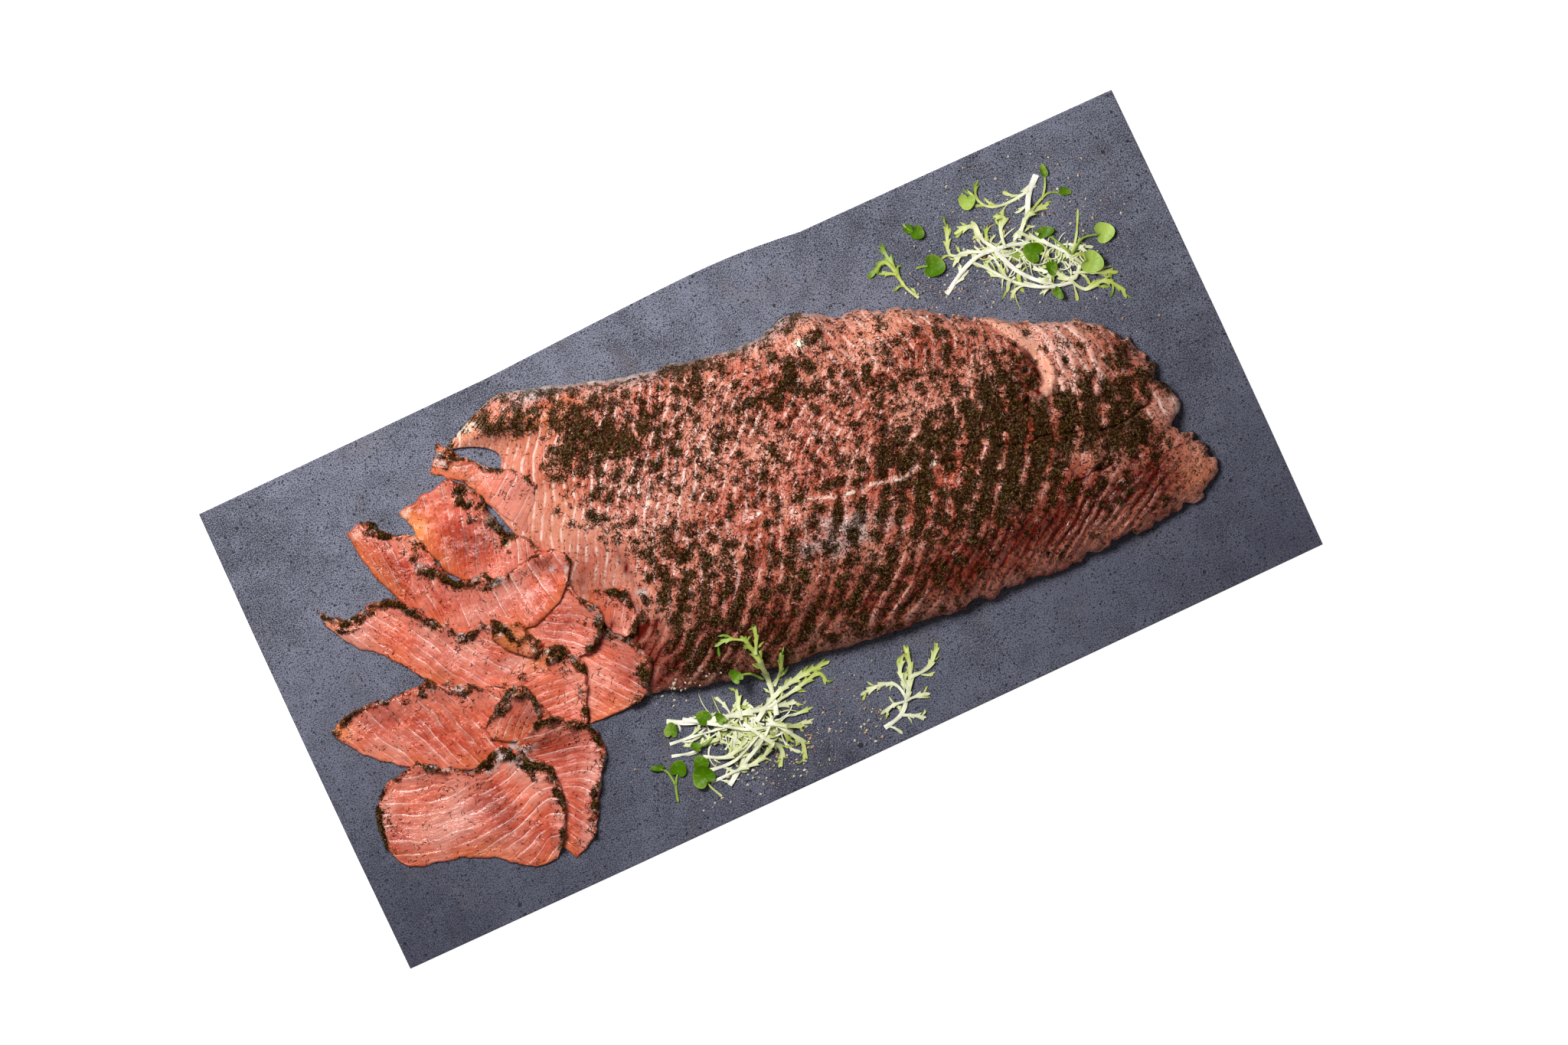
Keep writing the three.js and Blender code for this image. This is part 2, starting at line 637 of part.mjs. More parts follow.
const SALAD_BACK = {
  cores: [
    { centre: [205, 84], radii: [22, 11], turn: -0.5 },
    { centre: [230, 71], radii: [13, 11], turn: 0 },
  ],
  strips: [
    { route: [[159, 80], [179, 91], [197, 92], [217, 87]], width: 3.4, tip: 2.6 },
    { route: [[237, 122], [228, 113], [220, 100], [208, 92]], width: 4.6, tip: 2.4 },
    { route: [[229, 115], [212, 114], [202, 118], [196, 131]], width: 2.4, tip: 1.6 },
    { route: [[196, 91], [201, 78], [213, 62]], width: 5, tip: 3.4 },
    { route: [[229, 55], [214, 59], [200, 68], [190, 80], [182, 90]], width: 2.8, tip: 1.8 },
    { route: [[198, 90], [192, 100], [190, 110], [178, 111]], width: 3, toothed: true },
    { route: [[192, 92], [178, 98], [169, 93]], width: 2.6 },
    { route: [[180, 96], [171, 100], [172, 107], [177, 118]], width: 2, toothed: true },
    { route: [[202, 90], [204, 101], [209, 107], [203, 110]], width: 2.6, toothed: true },
    { route: [[212, 92], [222, 102], [237, 103]], width: 3, toothed: true },
    { route: [[200, 72], [195, 70], [192, 66]], width: 2.2, toothed: true },
    { route: [[236, 70], [244, 80], [251, 93]], width: 1.8, tip: 1.6 },
    { route: [[236, 70], [246, 76], [256, 74]], width: 2, tip: 1.6 },
    { route: [[238, 62], [232, 57], [226, 60], [222, 68]], width: 3.4 },
    { route: [[228, 58], [235, 48], [247, 48], [254, 40], [255, 33]], width: 2.8, toothed: true },
    { route: [[232, 60], [244, 55], [257, 49]], width: 2, tip: 1.6 },
    { route: [[236, 70], [224, 84], [212, 96]], width: 2.6 },
    { route: [[226, 104], [238, 109], [246, 106]], width: 1.8, tip: 1.4 },
    { route: [[234, 107], [239, 114], [242, 121]], width: 1.5, tip: 1.3 },
  ],
  leaves: [
    { centre: [193, 125], radius: 5, stem: 1 },
    { centre: [216, 81], radius: 6, stem: -0.8 },
    { centre: [227, 89], radius: 5.6, slim: 0.6, stem: 3 },
    { centre: [222, 68], radius: 4.6, slim: 0.7, stem: 1.3 },
    { centre: [219, 53], radius: 4.4, slim: 0.6, stem: 1.8 },
    { centre: [245, 61], radius: 6.8, stem: 2.4 },
    { centre: [259, 74], radius: 6.2, stem: 3.1 },
    { centre: [242, 122], radius: 4.2, slim: 0.5, stem: -1.7 },
    { centre: [248, 106], radius: 4, slim: 0.6, stem: 2.6 },
  ],
  stems: [{ route: [[236, 70], [232, 80], [227, 89]], width: 1.8, tip: 1.4 }],
};

const SALAD_FRONT = {
  cores: [{ centre: [-60, -104], radii: [30, 13], turn: -0.25 }],
  strips: [
    { route: [[-99, -80], [-85, -87], [-62, -93], [-40, -98], [-24, -102]], width: 4, toothed: true },
    { route: [[-90, -83], [-74, -93], [-58, -104], [-40, -110]], width: 3.6 },
    { route: [[-81, -130], [-68, -122], [-52, -114], [-40, -104]], width: 3.6 },
    { route: [[-105, -100], [-92, -103], [-78, -100]], width: 2.4 },
    { route: [[-103, -93], [-86, -95], [-68, -98]], width: 2.4 },
    { route: [[-38, -104], [-34, -86], [-34, -66], [-37, -52]], width: 4, toothed: true },
    { route: [[-34, -66], [-30, -58], [-27, -49]], width: 2.4 },
    { route: [[-37, -55], [-45, -51], [-54, -51]], width: 2 },
    { route: [[-50, -102], [-34, -93], [-16, -89], [4, -88]], width: 3.6, toothed: true },
    { route: [[-42, -98], [-22, -95], [-5, -92], [-4, -100]], width: 2.4 },
    { route: [[-32, -88], [-24, -80], [-20, -71]], width: 2.2 },
    { route: [[-58, -100], [-50, -114], [-44, -124], [-50, -133]], width: 3, toothed: true },
    { route: [[-44, -104], [-36, -116], [-31, -126], [-35, -136]], width: 3, toothed: true },
    { route: [[-46, -106], [-36, -112], [-25, -117]], width: 2.6 },
    { route: [[-89, -117], [-72, -118], [-52, -110]], width: 3 },
    { route: [[-88, -108], [-75, -114], [-60, -110]], width: 2.8, toothed: true },
    { route: [[-90, -124], [-74, -124], [-58, -124], [-46, -118]], width: 2.4 },
    { route: [[-88, -134], [-92, -124], [-90, -114]], width: 1.8 },
    { route: [[-58, -98], [-56, -88], [-53, -80]], width: 2.6, toothed: true },
  ],
  leaves: [
    { centre: [-78, -87], radius: 4.4, stem: -1 },
    { centre: [-69, -92], radius: 4, slim: 0.7, stem: -1.3 },
    { centre: [-50, -73], radius: 4.8, slim: 0.7, stem: -1.2 },
    { centre: [-99, -86], radius: 4.8, slim: 0.8, stem: -2 },
    { centre: [-89, -101], radius: 3.6, slim: 0.7, stem: -0.7 },
    { centre: [-91, -111], radius: 4.6, stem: -1.6 },
    { centre: [-93, -119], radius: 6.8, stem: -1.3 },
  ],
  stems: [
    { route: [[-36, -82], [-42, -75], [-50, -73]], width: 1.6, tip: 1.4 },
    { route: [[-78, -100], [-84, -102], [-89, -101]], width: 1.6, tip: 1.4 },
  ],
};

const ENDIVE_SPRIG_BACK = {
  strips: [
    { route: [[143, 85], [138, 96], [137, 110], [135, 123]], width: 2.2, toothed: true },
    { route: [[137, 105], [133, 113], [122, 108]], width: 3.2 },
    { route: [[137, 103], [132, 106], [127, 108]], width: 2.4 },
  ],
};

const ENDIVE_SPRIG_FRONT = {
  strips: [
    { route: [[17, -138], [29, -135], [39, -124], [46, -111], [48, -98]], width: 3.6, toothed: true },
    { route: [[29, -135], [36, -139], [42, -143]], width: 2.6 },
    { route: [[35, -129], [27, -128], [18, -130]], width: 2, toothed: true },
    { route: [[36, -128], [34, -118], [26, -114], [12, -114]], width: 2.4, toothed: true },
    { route: [[35, -129], [44, -129], [50, -131]], width: 2 },
    { route: [[39, -124], [39, -112], [45, -103]], width: 2.4 },
    { route: [[43, -117], [56, -116], [67, -105]], width: 3, toothed: true },
  ],
};

const CRESS_PAIR_BACK = {
  leaves: [
    { centre: [154.5, 124.5], radius: 2.7, stem: 2 },
    { centre: [158.5, 120.5], radius: 4.2, stem: 2.3 },
  ],
  stems: [{ route: [[153, 129], [154.5, 124.5], [158.5, 120.5]], width: 1.6, tip: 1.4 }],
};

const CRESS_LEAF_BACK = {
  leaves: [{ centre: [159, 98.5], radius: 6.6, stem: 2.7 }],
  stems: [{ route: [[148.5, 101.5], [153, 100.8], [159, 98.5]], width: 1.6, tip: 1.4 }],
};

const CRESS_SPRIG_FRONT = {
  leaves: [
    { centre: [-104.5, -108.5], radius: 5, stem: -2.2 },
    { centre: [-115, -103], radius: 4.6, slim: 0.4, stem: -0.4 },
  ],
  stems: [
    { route: [[-113, -127], [-110, -117], [-104.5, -108.5]], width: 1.8, tip: 1.4 },
    { route: [[-110, -117], [-111, -108], [-115, -103]], width: 1.6, tip: 1.4 },
  ],
};

// The assembly: the slab's box, with its swell, is centred on the origin.
const part = new THREE.Group();
const laidSlab = new THREE.Group();
laidSlab.position.y = -(Math.max(...BACK_SWELL.map((p) => p[1])) - SLAB.width / 2) / 2;
part.add(laidSlab);

function place(name, geometry, colour) {
  const mesh = new THREE.Mesh(geometry, new THREE.MeshStandardMaterial({ metalness: 0, ...colour }));
  mesh.name = name;
  laidSlab.add(mesh);
}

place("slab", slabGeometry(), COLOURS.stone);
const salmonSide = salmonSideGeometry();
ground.cover(salmonSide);
place("gravlax_side", salmonSide, COLOURS.salmon);
const rippleRandom = seededRandom(SEED.ripple);
SLICES.forEach((outline, k) => {
  const name = `slice_${String(k + 1).padStart(2, "0")}`;
  place(name, sliceGeometry(outline, rippleRandom), COLOURS.slice);
});
place("salad_back", saladGeometry(SALAD_BACK), COLOURS.endive);
place("salad_front", saladGeometry(SALAD_FRONT), COLOURS.endive);
place("endive_sprig_back", saladGeometry(ENDIVE_SPRIG_BACK), COLOURS.endive);
place("endive_sprig_front", saladGeometry(ENDIVE_SPRIG_FRONT), COLOURS.endive);
place("cress_pair_back", saladGeometry(CRESS_PAIR_BACK), COLOURS.cress);
place("cress_leaf_back", saladGeometry(CRESS_LEAF_BACK), COLOURS.cress);
place("cress_sprig_front", saladGeometry(CRESS_SPRIG_FRONT), COLOURS.cress);

export default part;
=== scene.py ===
"""Looks of a cured salmon side with its slices and salad on a stone slab, laid out as an add-on.

Shapes are worked out in millimetres in the slab's frame: +X along the slab, +Y to its back edge, +Z up and
z = 0 on its underside. Laying a finished piece moves it into the part's frame, in metres.
"""
import math

import bpy
import numpy as np
from bpy.props import FloatProperty, FloatVectorProperty, IntProperty, PointerProperty
from bpy.types import Operator, Panel, PropertyGroup
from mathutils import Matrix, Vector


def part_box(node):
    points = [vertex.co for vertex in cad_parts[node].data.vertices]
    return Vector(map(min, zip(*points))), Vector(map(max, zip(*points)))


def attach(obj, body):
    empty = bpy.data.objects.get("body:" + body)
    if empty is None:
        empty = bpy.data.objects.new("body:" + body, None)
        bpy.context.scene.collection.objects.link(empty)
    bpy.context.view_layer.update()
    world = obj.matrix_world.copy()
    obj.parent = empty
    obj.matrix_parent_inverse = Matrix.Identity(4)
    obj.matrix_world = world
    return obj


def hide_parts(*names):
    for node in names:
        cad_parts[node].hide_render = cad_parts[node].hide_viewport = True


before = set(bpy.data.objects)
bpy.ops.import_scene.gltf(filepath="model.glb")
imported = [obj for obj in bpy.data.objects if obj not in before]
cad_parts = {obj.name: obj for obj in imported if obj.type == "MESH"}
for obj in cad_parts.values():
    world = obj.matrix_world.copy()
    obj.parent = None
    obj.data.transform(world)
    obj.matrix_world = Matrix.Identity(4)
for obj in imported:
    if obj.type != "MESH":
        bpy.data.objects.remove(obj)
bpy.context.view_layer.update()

bl_info = {
    "name": "Gravlax on a slab",
    "version": (1, 0, 0),
    "blender": (4, 5, 0),
    "location": "View3D > Sidebar > Gravlax",
    "description": "Builds a cured salmon side with its slices, dill, salad and crumbs on a stone slab",
    "category": "Add Mesh",
}

MM = 0.001
SLAB_LOW, SLAB_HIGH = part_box("slab")
SLAB_TOP = SLAB_HIGH[2] / MM
SLAB_FRONT = -150.0
SHIFT = SLAB_LOW[1] / MM - SLAB_FRONT
GROUND_BOX = (-315, -170, 315, 175)
GROUND_CELL = 1.0

# Gaps left between pieces that lie on one another
GAP = 0.05
SMALL_GAP = 0.02

# The salmon side: its corners, its four edges, its thickness and the run of its slanted cut
CORNERS = np.array([[[-107, -60], [-150, 122]], [[235, -96], [250, 0]]], float)
BACK_KNOTS = [
    (-150, 122), (-118, 137), (-80, 131), (-40, 117.5), (0, 110), (40, 103.5), (78, 106), (90, 97),
    (120, 89), (160, 66), (178, 56), (206, 42), (232, 26), (250, 0),
]
BELLY_KNOTS = [(-107, -60), (-60, -72), (0, -82), (60, -90), (130, -95), (200, -97), (235, -96)]
CUT_KNOTS = [
    (-60, -107), (-35, -111), (0, -113), (22, -119), (38, -125), (55, -132), (75, -138), (88, -140),
    (97, -126), (104, -122), (112, -127), (118, -138), (122, -150),
]
TAIL_KNOTS = [(-96, 235), (-85, 257), (-72, 261), (-58, 258), (-50, 250), (-44, 255), (-25, 254), (0, 250)]
THICKNESS_KNOTS = [(-150, 8), (-125, 16), (-95, 27), (-60, 30), (120, 30), (200, 24), (260, 18)]
CUT_RUN_KNOTS = [(-60, 34), (-10, 44), (45, 52), (75, 58), (100, 50), (125, 46)]
SIDE_RIM = 3.0
BELLY_ROLL = 62.0
BACK_ROLL = 24.0
TAIL_ROLL = 45.0
SIDE_GRID = (430, 222)
SIDE_BOX = (-165, -110, 275, 150)
FOLD_CENTRE = (168.0, 28.0)
FOLD_RADIUS = 24.0
FOLD_DEPTH = 5.0
FOLD_WIDTH = 6.5
FOLD_SPREAD = 1.4
WAVE_HEIGHT, WAVE_ALONG, WAVE_ACROSS = 1.1, 25.0, 18.0

# Tufts fused to the side: their draws, their room from cut, tail, back and belly, and from one another
TUFT_COUNT = 60
TUFT_SEED = 7
DRAW_FACTOR, DRAW_STEP, DRAW_RANGE = 1664525, 1013904223, 2 ** 32
TUFT_ROOM = (62, 14, 14, 28)
TUFT_GAP = 17

# Zones of the side: the two distances or places between which each one fades
BARE_RUN = (30, 58)
BELLY_RUN = (14, 50)
TAIL_RUN = (8, 40)
FLAP_RUN = (70, 100)
LOWER_RUN = (40, -10)

# Relief of the side: half widths, heights and depths
LIP_HALF, LIP_HEIGHT = 4.0, 3.0
RIB_HALF, RIB_HEIGHT = 1.7, 0.9
SEAM_HALF, SEAM_HEIGHT, SEAM_BARE = 0.9, 0.6, 1.8
NOTCH_DEPTH = 2.4

# Directions of the flakes on the side: x, y and the angle of the lines in degrees
SIDE_STROKES = [
    (-110, 70, 66), (-80, 50, 60), (-60, 90, 60), (-20, 60, 45), (30, 55, 30), (100, 40, 15), (150, 45, 20),
    (105, 82, 130), (130, 75, 130), (165, 60, 130), (188, 40, 112), (197, 20, 106), (205, 20, 108),
    (220, 20, 114), (235, 20, 120), (245, -35, 120), (240, -70, 20), (-60, -15, 80), (-20, -20, 76),
    (40, -20, 72), (100, -25, 68), (160, -40, 58), (200, -50, 52), (-80, -50, 20), (-40, -65, 20),
    (0, -60, 32), (50, -65, 34), (100, -65, 36), (150, -70, 34), (200, -75, 30), (60, -85, 14),
    (120, -90, 12), (200, -90, 14),
]

# Directions of the bands in which the dill lies, in the same way, and their spacing
BAND_STROKES = [
    (-60, 90, 60), (-20, 70, 65), (20, 70, 72), (60, 60, 76), (110, 60, 76), (160, 40, 80), (-60, -5, 75),
    (0, -10, 70), (60, -10, 68), (120, -10, 68), (180, -15, 66), (-60, -35, 50), (0, -40, 54), (60, -42, 54),
    (120, -45, 54), (180, -48, 52), (225, -50, 45), (-80, -52, 22), (-30, -62, 26), (30, -68, 28),
    (90, -72, 28), (150, -75, 26), (210, -78, 22), (0, -80, 10), (80, -90, 10), (160, -94, 10), (225, -92, 8),
    (192, 40, 118), (206, 20, 110), (230, 12, 116), (245, -30, 105),
]
BAND_SPACING = 10.5

# Tufts of dill: how far they spread, the share of the cover that each kind makes up, and their raster's step
TUFT_SPREADS = [(0.7, 0.35), (1.7, 0.65)]
COAT_CELL = 0.8

# Bits of dill: how many to a square millimetre of full cover, the share of each tone from low to high, how far
# they stray, their steepest slope, and how far under another piece a point counts as hidden
SIDE_DILL = 3.9
SLICE_DILL = 6.2
DILL_TONES = {"black": 0.26, "dark": 0.24, "brown": 0.27, "olive": 0.17, "grey": 0.06}
DILL_JITTER = 0.45
DILL_STEEPEST = 0.9
HIDDEN_BELOW = 2.0

# Soft spots on the side: x, y, half widths along x and y, and strength
SIDE_COAT = [
    (-78, 100, 15, 13, 0.65), (-52, 84, 24, 13, 0.6), (-112, 119, 20, 10, 0.65), (3, 100, 15, 10, 0.4),
    (42, 70, 24, 11, 0.32), (70, 86, 9, 7, 0.3), (-60, 68, 14, 8, 0.15), (75, 55, 15, 9, 0.2),
    (112, 42, 30, 17, 0.18), (165, 20, 32, 15, 0.35), (85, 5, 12, 15, 0.5), (120, 5, 30, 13, 0.28),
    (165, -2, 38, 13, 0.45), (200, -22, 50, 15, 0.6), (140, -38, 27, 17, 0.55), (225, -38, 12, 11, 0.4),
    (-40, 10, 17, 13, 0.2), (-62, -15, 14, 15, 0.14), (-38, -38, 17, 11, 0.16), (55, -20, 13, 13, 0.1),
    (92, -15, 13, 15, 0.3), (-80, -56, 26, 10, 0.3), (55, 97, 40, 8, -0.14), (120, 85, 32, 13, -0.16),
    (115, -22, 8, 11, -0.3), (190, -46, 13, 7, -0.5), (-5, -5, 10, 9, -0.2), (247, -36, 11, 9, -1.0),
    (246, -74, 20, 16, -0.25), (226, 18, 20, 22, -0.2), (10, 0, 50, 8, -0.12), (200, 40, 12, 12, -0.3),
    (-20, 108, 50, 8, 0.15), (20, 62, 30, 14, 0.1), (-90, 90, 8, 10, 0.15),
]
SIDE_FAT = [
    (130, 80, 45, 14, 0.7), (214, 25, 26, 26, 0.9), (247, -36, 12, 10, 0.8), (244, -75, 22, 18, 0.5),
    (-60, 50, 45, 25, 0.35), (20, 60, 60, 20, 0.15),
]
SIDE_GREY = [
    (40, -20, 24, 16, 0.9), (222, -5, 5, 8, 0.7), (-82, 130, 22, 6, 0.7), (120, 70, 40, 8, 0.2),
    (-30, -18, 24, 10, 0.3), (-15, 112, 60, 6, 0.4), (200, -47, 12, 8, 0.3), (-80, -4, 4, 3, 1.2),
    (10, -24, 26, 10, 0.3), (70, -26, 20, 10, 0.3), (-50, -32, 20, 12, 0.3), (60, 103, 40, 6, 0.3),
]
SIDE_PALE = [
    (67, 90, 8, 3, 1.0), (-134, 129, 14, 5, 0.8), (110, -8, 4, 2, 0.9), (152, 12, 3, 2, 0.8),
    (56, -3, 6, 2, 0.8), (22, -10, 4, 3, 0.5),
]
SIDE_WARM = [
    (246, -36, 12, 10, 0.1), (248, -78, 14, 12, 0.45), (-134, 128, 16, 7, 0.5), (225, 22, 14, 12, 0.2),
    (60, 98, 40, 7, 0.2), (120, 80, 30, 10, 0.2), (-105, 70, 16, 34, 0.2), (-80, 112, 30, 8, 0.45),
]
SIDE_BLUSH = [
    (-60, 50, 40, 22, 0.15), (60, 96, 40, 8, 0.2), (110, 85, 30, 10, 0.25), (248, -36, 10, 9, 0.7),
    (246, -72, 16, 14, 0.15), (215, 25, 20, 20, 0.3),
]
# Deep red spots: mostly painted shade in the crevices where the slices meet the side and in the fold's slit.
SIDE_DEEP_SHADE = [
    (-112, 18, 8, 10, 0.5), (-82, 15, 3, 10, 0.8), (-87, -24, 11, 4, 0.8), (183, 3, 6, 2, 1.0),
    (-82, -56, 26, 9, 0.3), (176, 22, 10, 12, 0.35), (-50, 26, 14, 7, 0.2), (-92, 25, 14, 20, 0.14),
    (-94, -10, 10, 18, 0.2),
]

# Lines on the side: cracks with their depth and half width, the pale seam, the fold's lip and ribs, and the
# border of the coat along the cut
CRACKS = [
    ([(148, -15), (165, -20), (180, -22), (200, -29), (215, -33), (240, -30)], 2.4, 0.9),
    ([(180, -52), (192, -53), (205, -52)], 1.8, 0.8),
    ([(183, 36), (187, 25), (188.5, 15.5), (187, 9), (183, 5), (172, 2)], 2.2, 1.0),
]
SEAM = [(-45, 12), (0, 10), (30, 3), (60, -3), (100, -8)]
FOLD_LIP = [
    (170, 62), (177, 55.6), (183.4, 46.3), (188.5, 34.3), (192.2, 24.1), (193.8, 15.9), (192.6, 8.9),
    (188, 3.6), (181, 2.5),
]
FOLD_RIBS = [
    [(196, 46), (201, 35), (202.5, 22), (201.3, 9), (197, 0)],
    [(204, 46), (206.4, 41), (207.6, 29.7), (209.7, 16), (207.5, 4), (202.5, -4)],
    [(214, 38), (216, 34), (221, 21.4), (221.2, 8.4), (220.7, -4), (213, -11)],
]
COAT_BORDER = [(-105, 118), (-105, 85), (-100, 65), (-88, 42), (-80, 25)]

# The slices from the lowest to the topmost: the coated edge and the skin edge, each from the free tip to the
# hidden end, the directions of the flakes, their spacing, and the share of the thickness left at the end
SLICES = [
    ([(-106, -13), (-95, -28), (-93, -46), (-100, -58), (-107, -64)],
     [(-130, -18), (-137, -42), (-140, -63)],
     [(-125, -40, -50), (-110, -45, -55)], 5.0, 1.0),
    ([(-108, 8), (-94, 6), (-87, 0), (-88, -14), (-92, -24)],
     [(-111, 2), (-109, -8), (-106, -17), (-100, -24)],
     [(-98, 0, 60)], 5.0, 1.0),
    ([(-152, 127), (-141, 112), (-131, 103), (-118, 93), (-109, 80)],
     [(-165, 113), (-150, 101), (-143, 88), (-136, 73), (-128, 58)],
     [(-150, 112, -40), (-130, 85, 60)], 5.5, 0.06),
    ([(-209, 103), (-201, 91), (-187, 83), (-184, 72), (-180, 58)],
     [(-225, 102), (-224, 90), (-220, 72), (-213, 52), (-205, 40)],
     [(-212, 80, -85), (-205, 65, -78)], 7.0, 1.0),
    ([(-159, 106), (-149, 100), (-142, 89), (-142, 76), (-137, 64), (-127, 51), (-121, 38)],
     [(-190, 99), (-188, 88), (-184, 70), (-177, 51), (-164, 34)],
     [(-170, 80, 80), (-160, 65, 74), (-150, 55, 70)], 6.0, 1.0),
    ([(-117, 20), (-113, 8), (-106, -3), (-111, -16), (-124, -25)],
     [(-143, 20), (-152, 9), (-154, -4), (-146, -14), (-135, -23)],
     [(-120, 10, -30), (-120, -12, -35)], 5.0, 1.0),
    ([(-196, 68), (-186, 60), (-176, 49), (-162, 44), (-148, 40), (-130, 43), (-114, 40), (-109, 31)],
     [(-212, 48), (-206, 36), (-194, 22), (-174, 14), (-150, 5), (-131, 9), (-117, 20)],
     [(-190, 45, 88), (-165, 32, 100)], 7.0, 1.0),
    ([(-260, 66), (-246, 56), (-228, 58), (-213, 53), (-201, 37), (-187, 20), (-170, 18), (-152, 4),
      (-146, -8)],
     [(-259, 57), (-249, 40), (-234, 26), (-223, 10), (-209, -7), (-190, -22), (-170, -34), (-150, -38)],
     [(-235, 40, -60), (-220, 25, -62), (-205, 15, -68), (-190, 5, -60), (-175, -5, -45)], 5.5, 1.0),
    ([(-152, -8), (-137, -13), (-129, -27), (-134, -46), (-141, -62)],
     [(-176, -16), (-178, -28), (-176, -45), (-170, -62)],
     [(-155, -35, -6), (-150, -50, -4)], 4.5, 1.0),
    ([(-169, 18), (-160, 14), (-151, 3), (-147, -8)],
     [(-172, 8), (-168, 0), (-162, -7), (-154, -12)],
     [(-160, 5, -45)], 5.0, 1.0),
    ([(-281, 0), (-266, 4), (-240, 2), (-216, 1), (-203, -8), (-188, -14), (-174, -25), (-164, -35),
      (-160, -48)],
     [(-281, -6), (-275, -16), (-262, -30), (-243, -44), (-215, -58), (-190, -62), (-170, -60)],
     [(-270, -12, -65), (-245, -25, -62), (-225, -25, -68), (-205, -25, -72), (-190, -30, -70)], 7.0, 1.0),
    ([(-199, -38), (-186, -29), (-172, -22), (-163, -33), (-165, -46)],
     [(-197, -47), (-186, -53), (-174, -52)],
     [(-182, -38, 40)], 5.0, 1.0),
    ([(-168, -46), (-152, -52), (-141, -62), (-138, -78), (-146, -92), (-156, -107), (-164, -124)],
     [(-190, -58), (-191, -75), (-189, -95), (-188, -115), (-182, -131)],
     [(-160, -60, 3), (-165, -80, 6), (-163, -100, -75), (-172, -115, -70)], 4.5, 1.0),
    ([(-281, -72), (-278, -57), (-270, -46), (-255, -41), (-238, -43), (-226, -52), (-212, -57),
      (-196, -52), (-184, -62), (-174, -72), (-171, -88), (-178, -108), (-187, -122)],
     [(-281, -80), (-274, -93), (-255, -100), (-238, -104), (-222, -114), (-206, -126), (-192, -127)],
     [(-270, -60, -35), (-250, -80, -20), (-230, -95, -10), (-215, -95, 0), (-200, -95, 20),
      (-190, -90, 30), (-215, -110, 25), (-205, -115, 35), (-178, -100, -65)], 7.0, 1.0),
]

# Slices: thickness over the share from coated to skin edge, the grid's step, rounds of bridging, the angle
# of a sharp edge, and the breadth of the crust
SLICE_THICKNESS = [(0, 4.2), (0.3, 3.0), (0.7, 2.6), (1, 1.0)]
SLICE_CELL = 0.85
SLICE_ROUNDS = 90
SLICE_CREASE = 50
CRUST_BREADTH = 7.4

# How thin the fat lines are, on the side and on the slices
SIDE_THIN = 0.6
SLICE_THIN = 0.87

# Soft spots on the slices, in the same way as on the side
SLICE_COAT = [
    (-152, 86, 8, 13, 1.0), (-193, 76, 9, 6, 0.8), (-143, 56, 6, 8, 0.8), (-195, 25, 9, 6, 0.7),
    (-141, -18, 10, 6, 0.8), (-119, -6, 7, 6, 0.6), (-186, -60, 10, 5, 0.6), (-168, -20, 12, 5, 0.5),
]
SLICE_WARM = [
    (-184, 87, 8, 9, 0.9), (-278, -3, 8, 7, 0.7), (-160, 4, 9, 9, 0.7), (-150, -15, 12, 5, 0.6),
    (-120, -60, 14, 6, 0.35), (-150, 122, 12, 8, 0.4), (-256, 56, 8, 6, 0.4),
]
SLICE_PALE = [
    (-188, 97, 5, 5, 0.8), (-220, 98, 6, 5, 0.7), (-257, 61, 5, 5, 0.6), (-166, 10, 5, 5, 0.6),
    (-142, 24, 4, 3, 0.7), (-144, -12, 4, 3, 0.7), (-140, 55, 3, 3, 0.6),
]
SLICE_GREY = [
    (-115, 26, 4, 4, 0.9), (-142, 24, 5, 4, 0.7), (-210, -60, 16, 5, 0.9), (-185, -58, 11, 9, 0.9),
    (-157, 116, 10, 7, 0.6), (-142, 102, 9, 6, 0.5), (-122, 30, 6, 4, 0.6), (-150, 38, 8, 3, 0.5),
]
# Deep red spots on the slices: painted shade where slices overlap and meet the side.
SLICE_DEEP_SHADE = [
    (-112, 18, 6, 8, 0.5), (-105, -14, 5, 4, 0.8), (-116, -22, 8, 3, 0.5), (-160, 62, 10, 12, 0.4),
    (-128, 0, 14, 10, 0.25), (-170, -10, 14, 6, 0.3), (-178, -42, 14, 8, 0.35), (-205, 60, 8, 14, 0.2),
]
# Pale pink spots on the slices: the flesh's own colour, and partly a painted sheen.
SLICE_BLUSH_AND_SHEEN = [
    (-245, -80, 26, 14, 0.75), (-215, -110, 16, 10, 0.35), (-255, -25, 16, 10, 0.4), (-200, 8, 14, 10, 0.3),
    (-165, -12, 12, 8, 0.5), (-245, 40, 10, 8, 0.3), (-175, 25, 12, 8, 0.3), (-128, -35, 10, 10, 0.2),
]

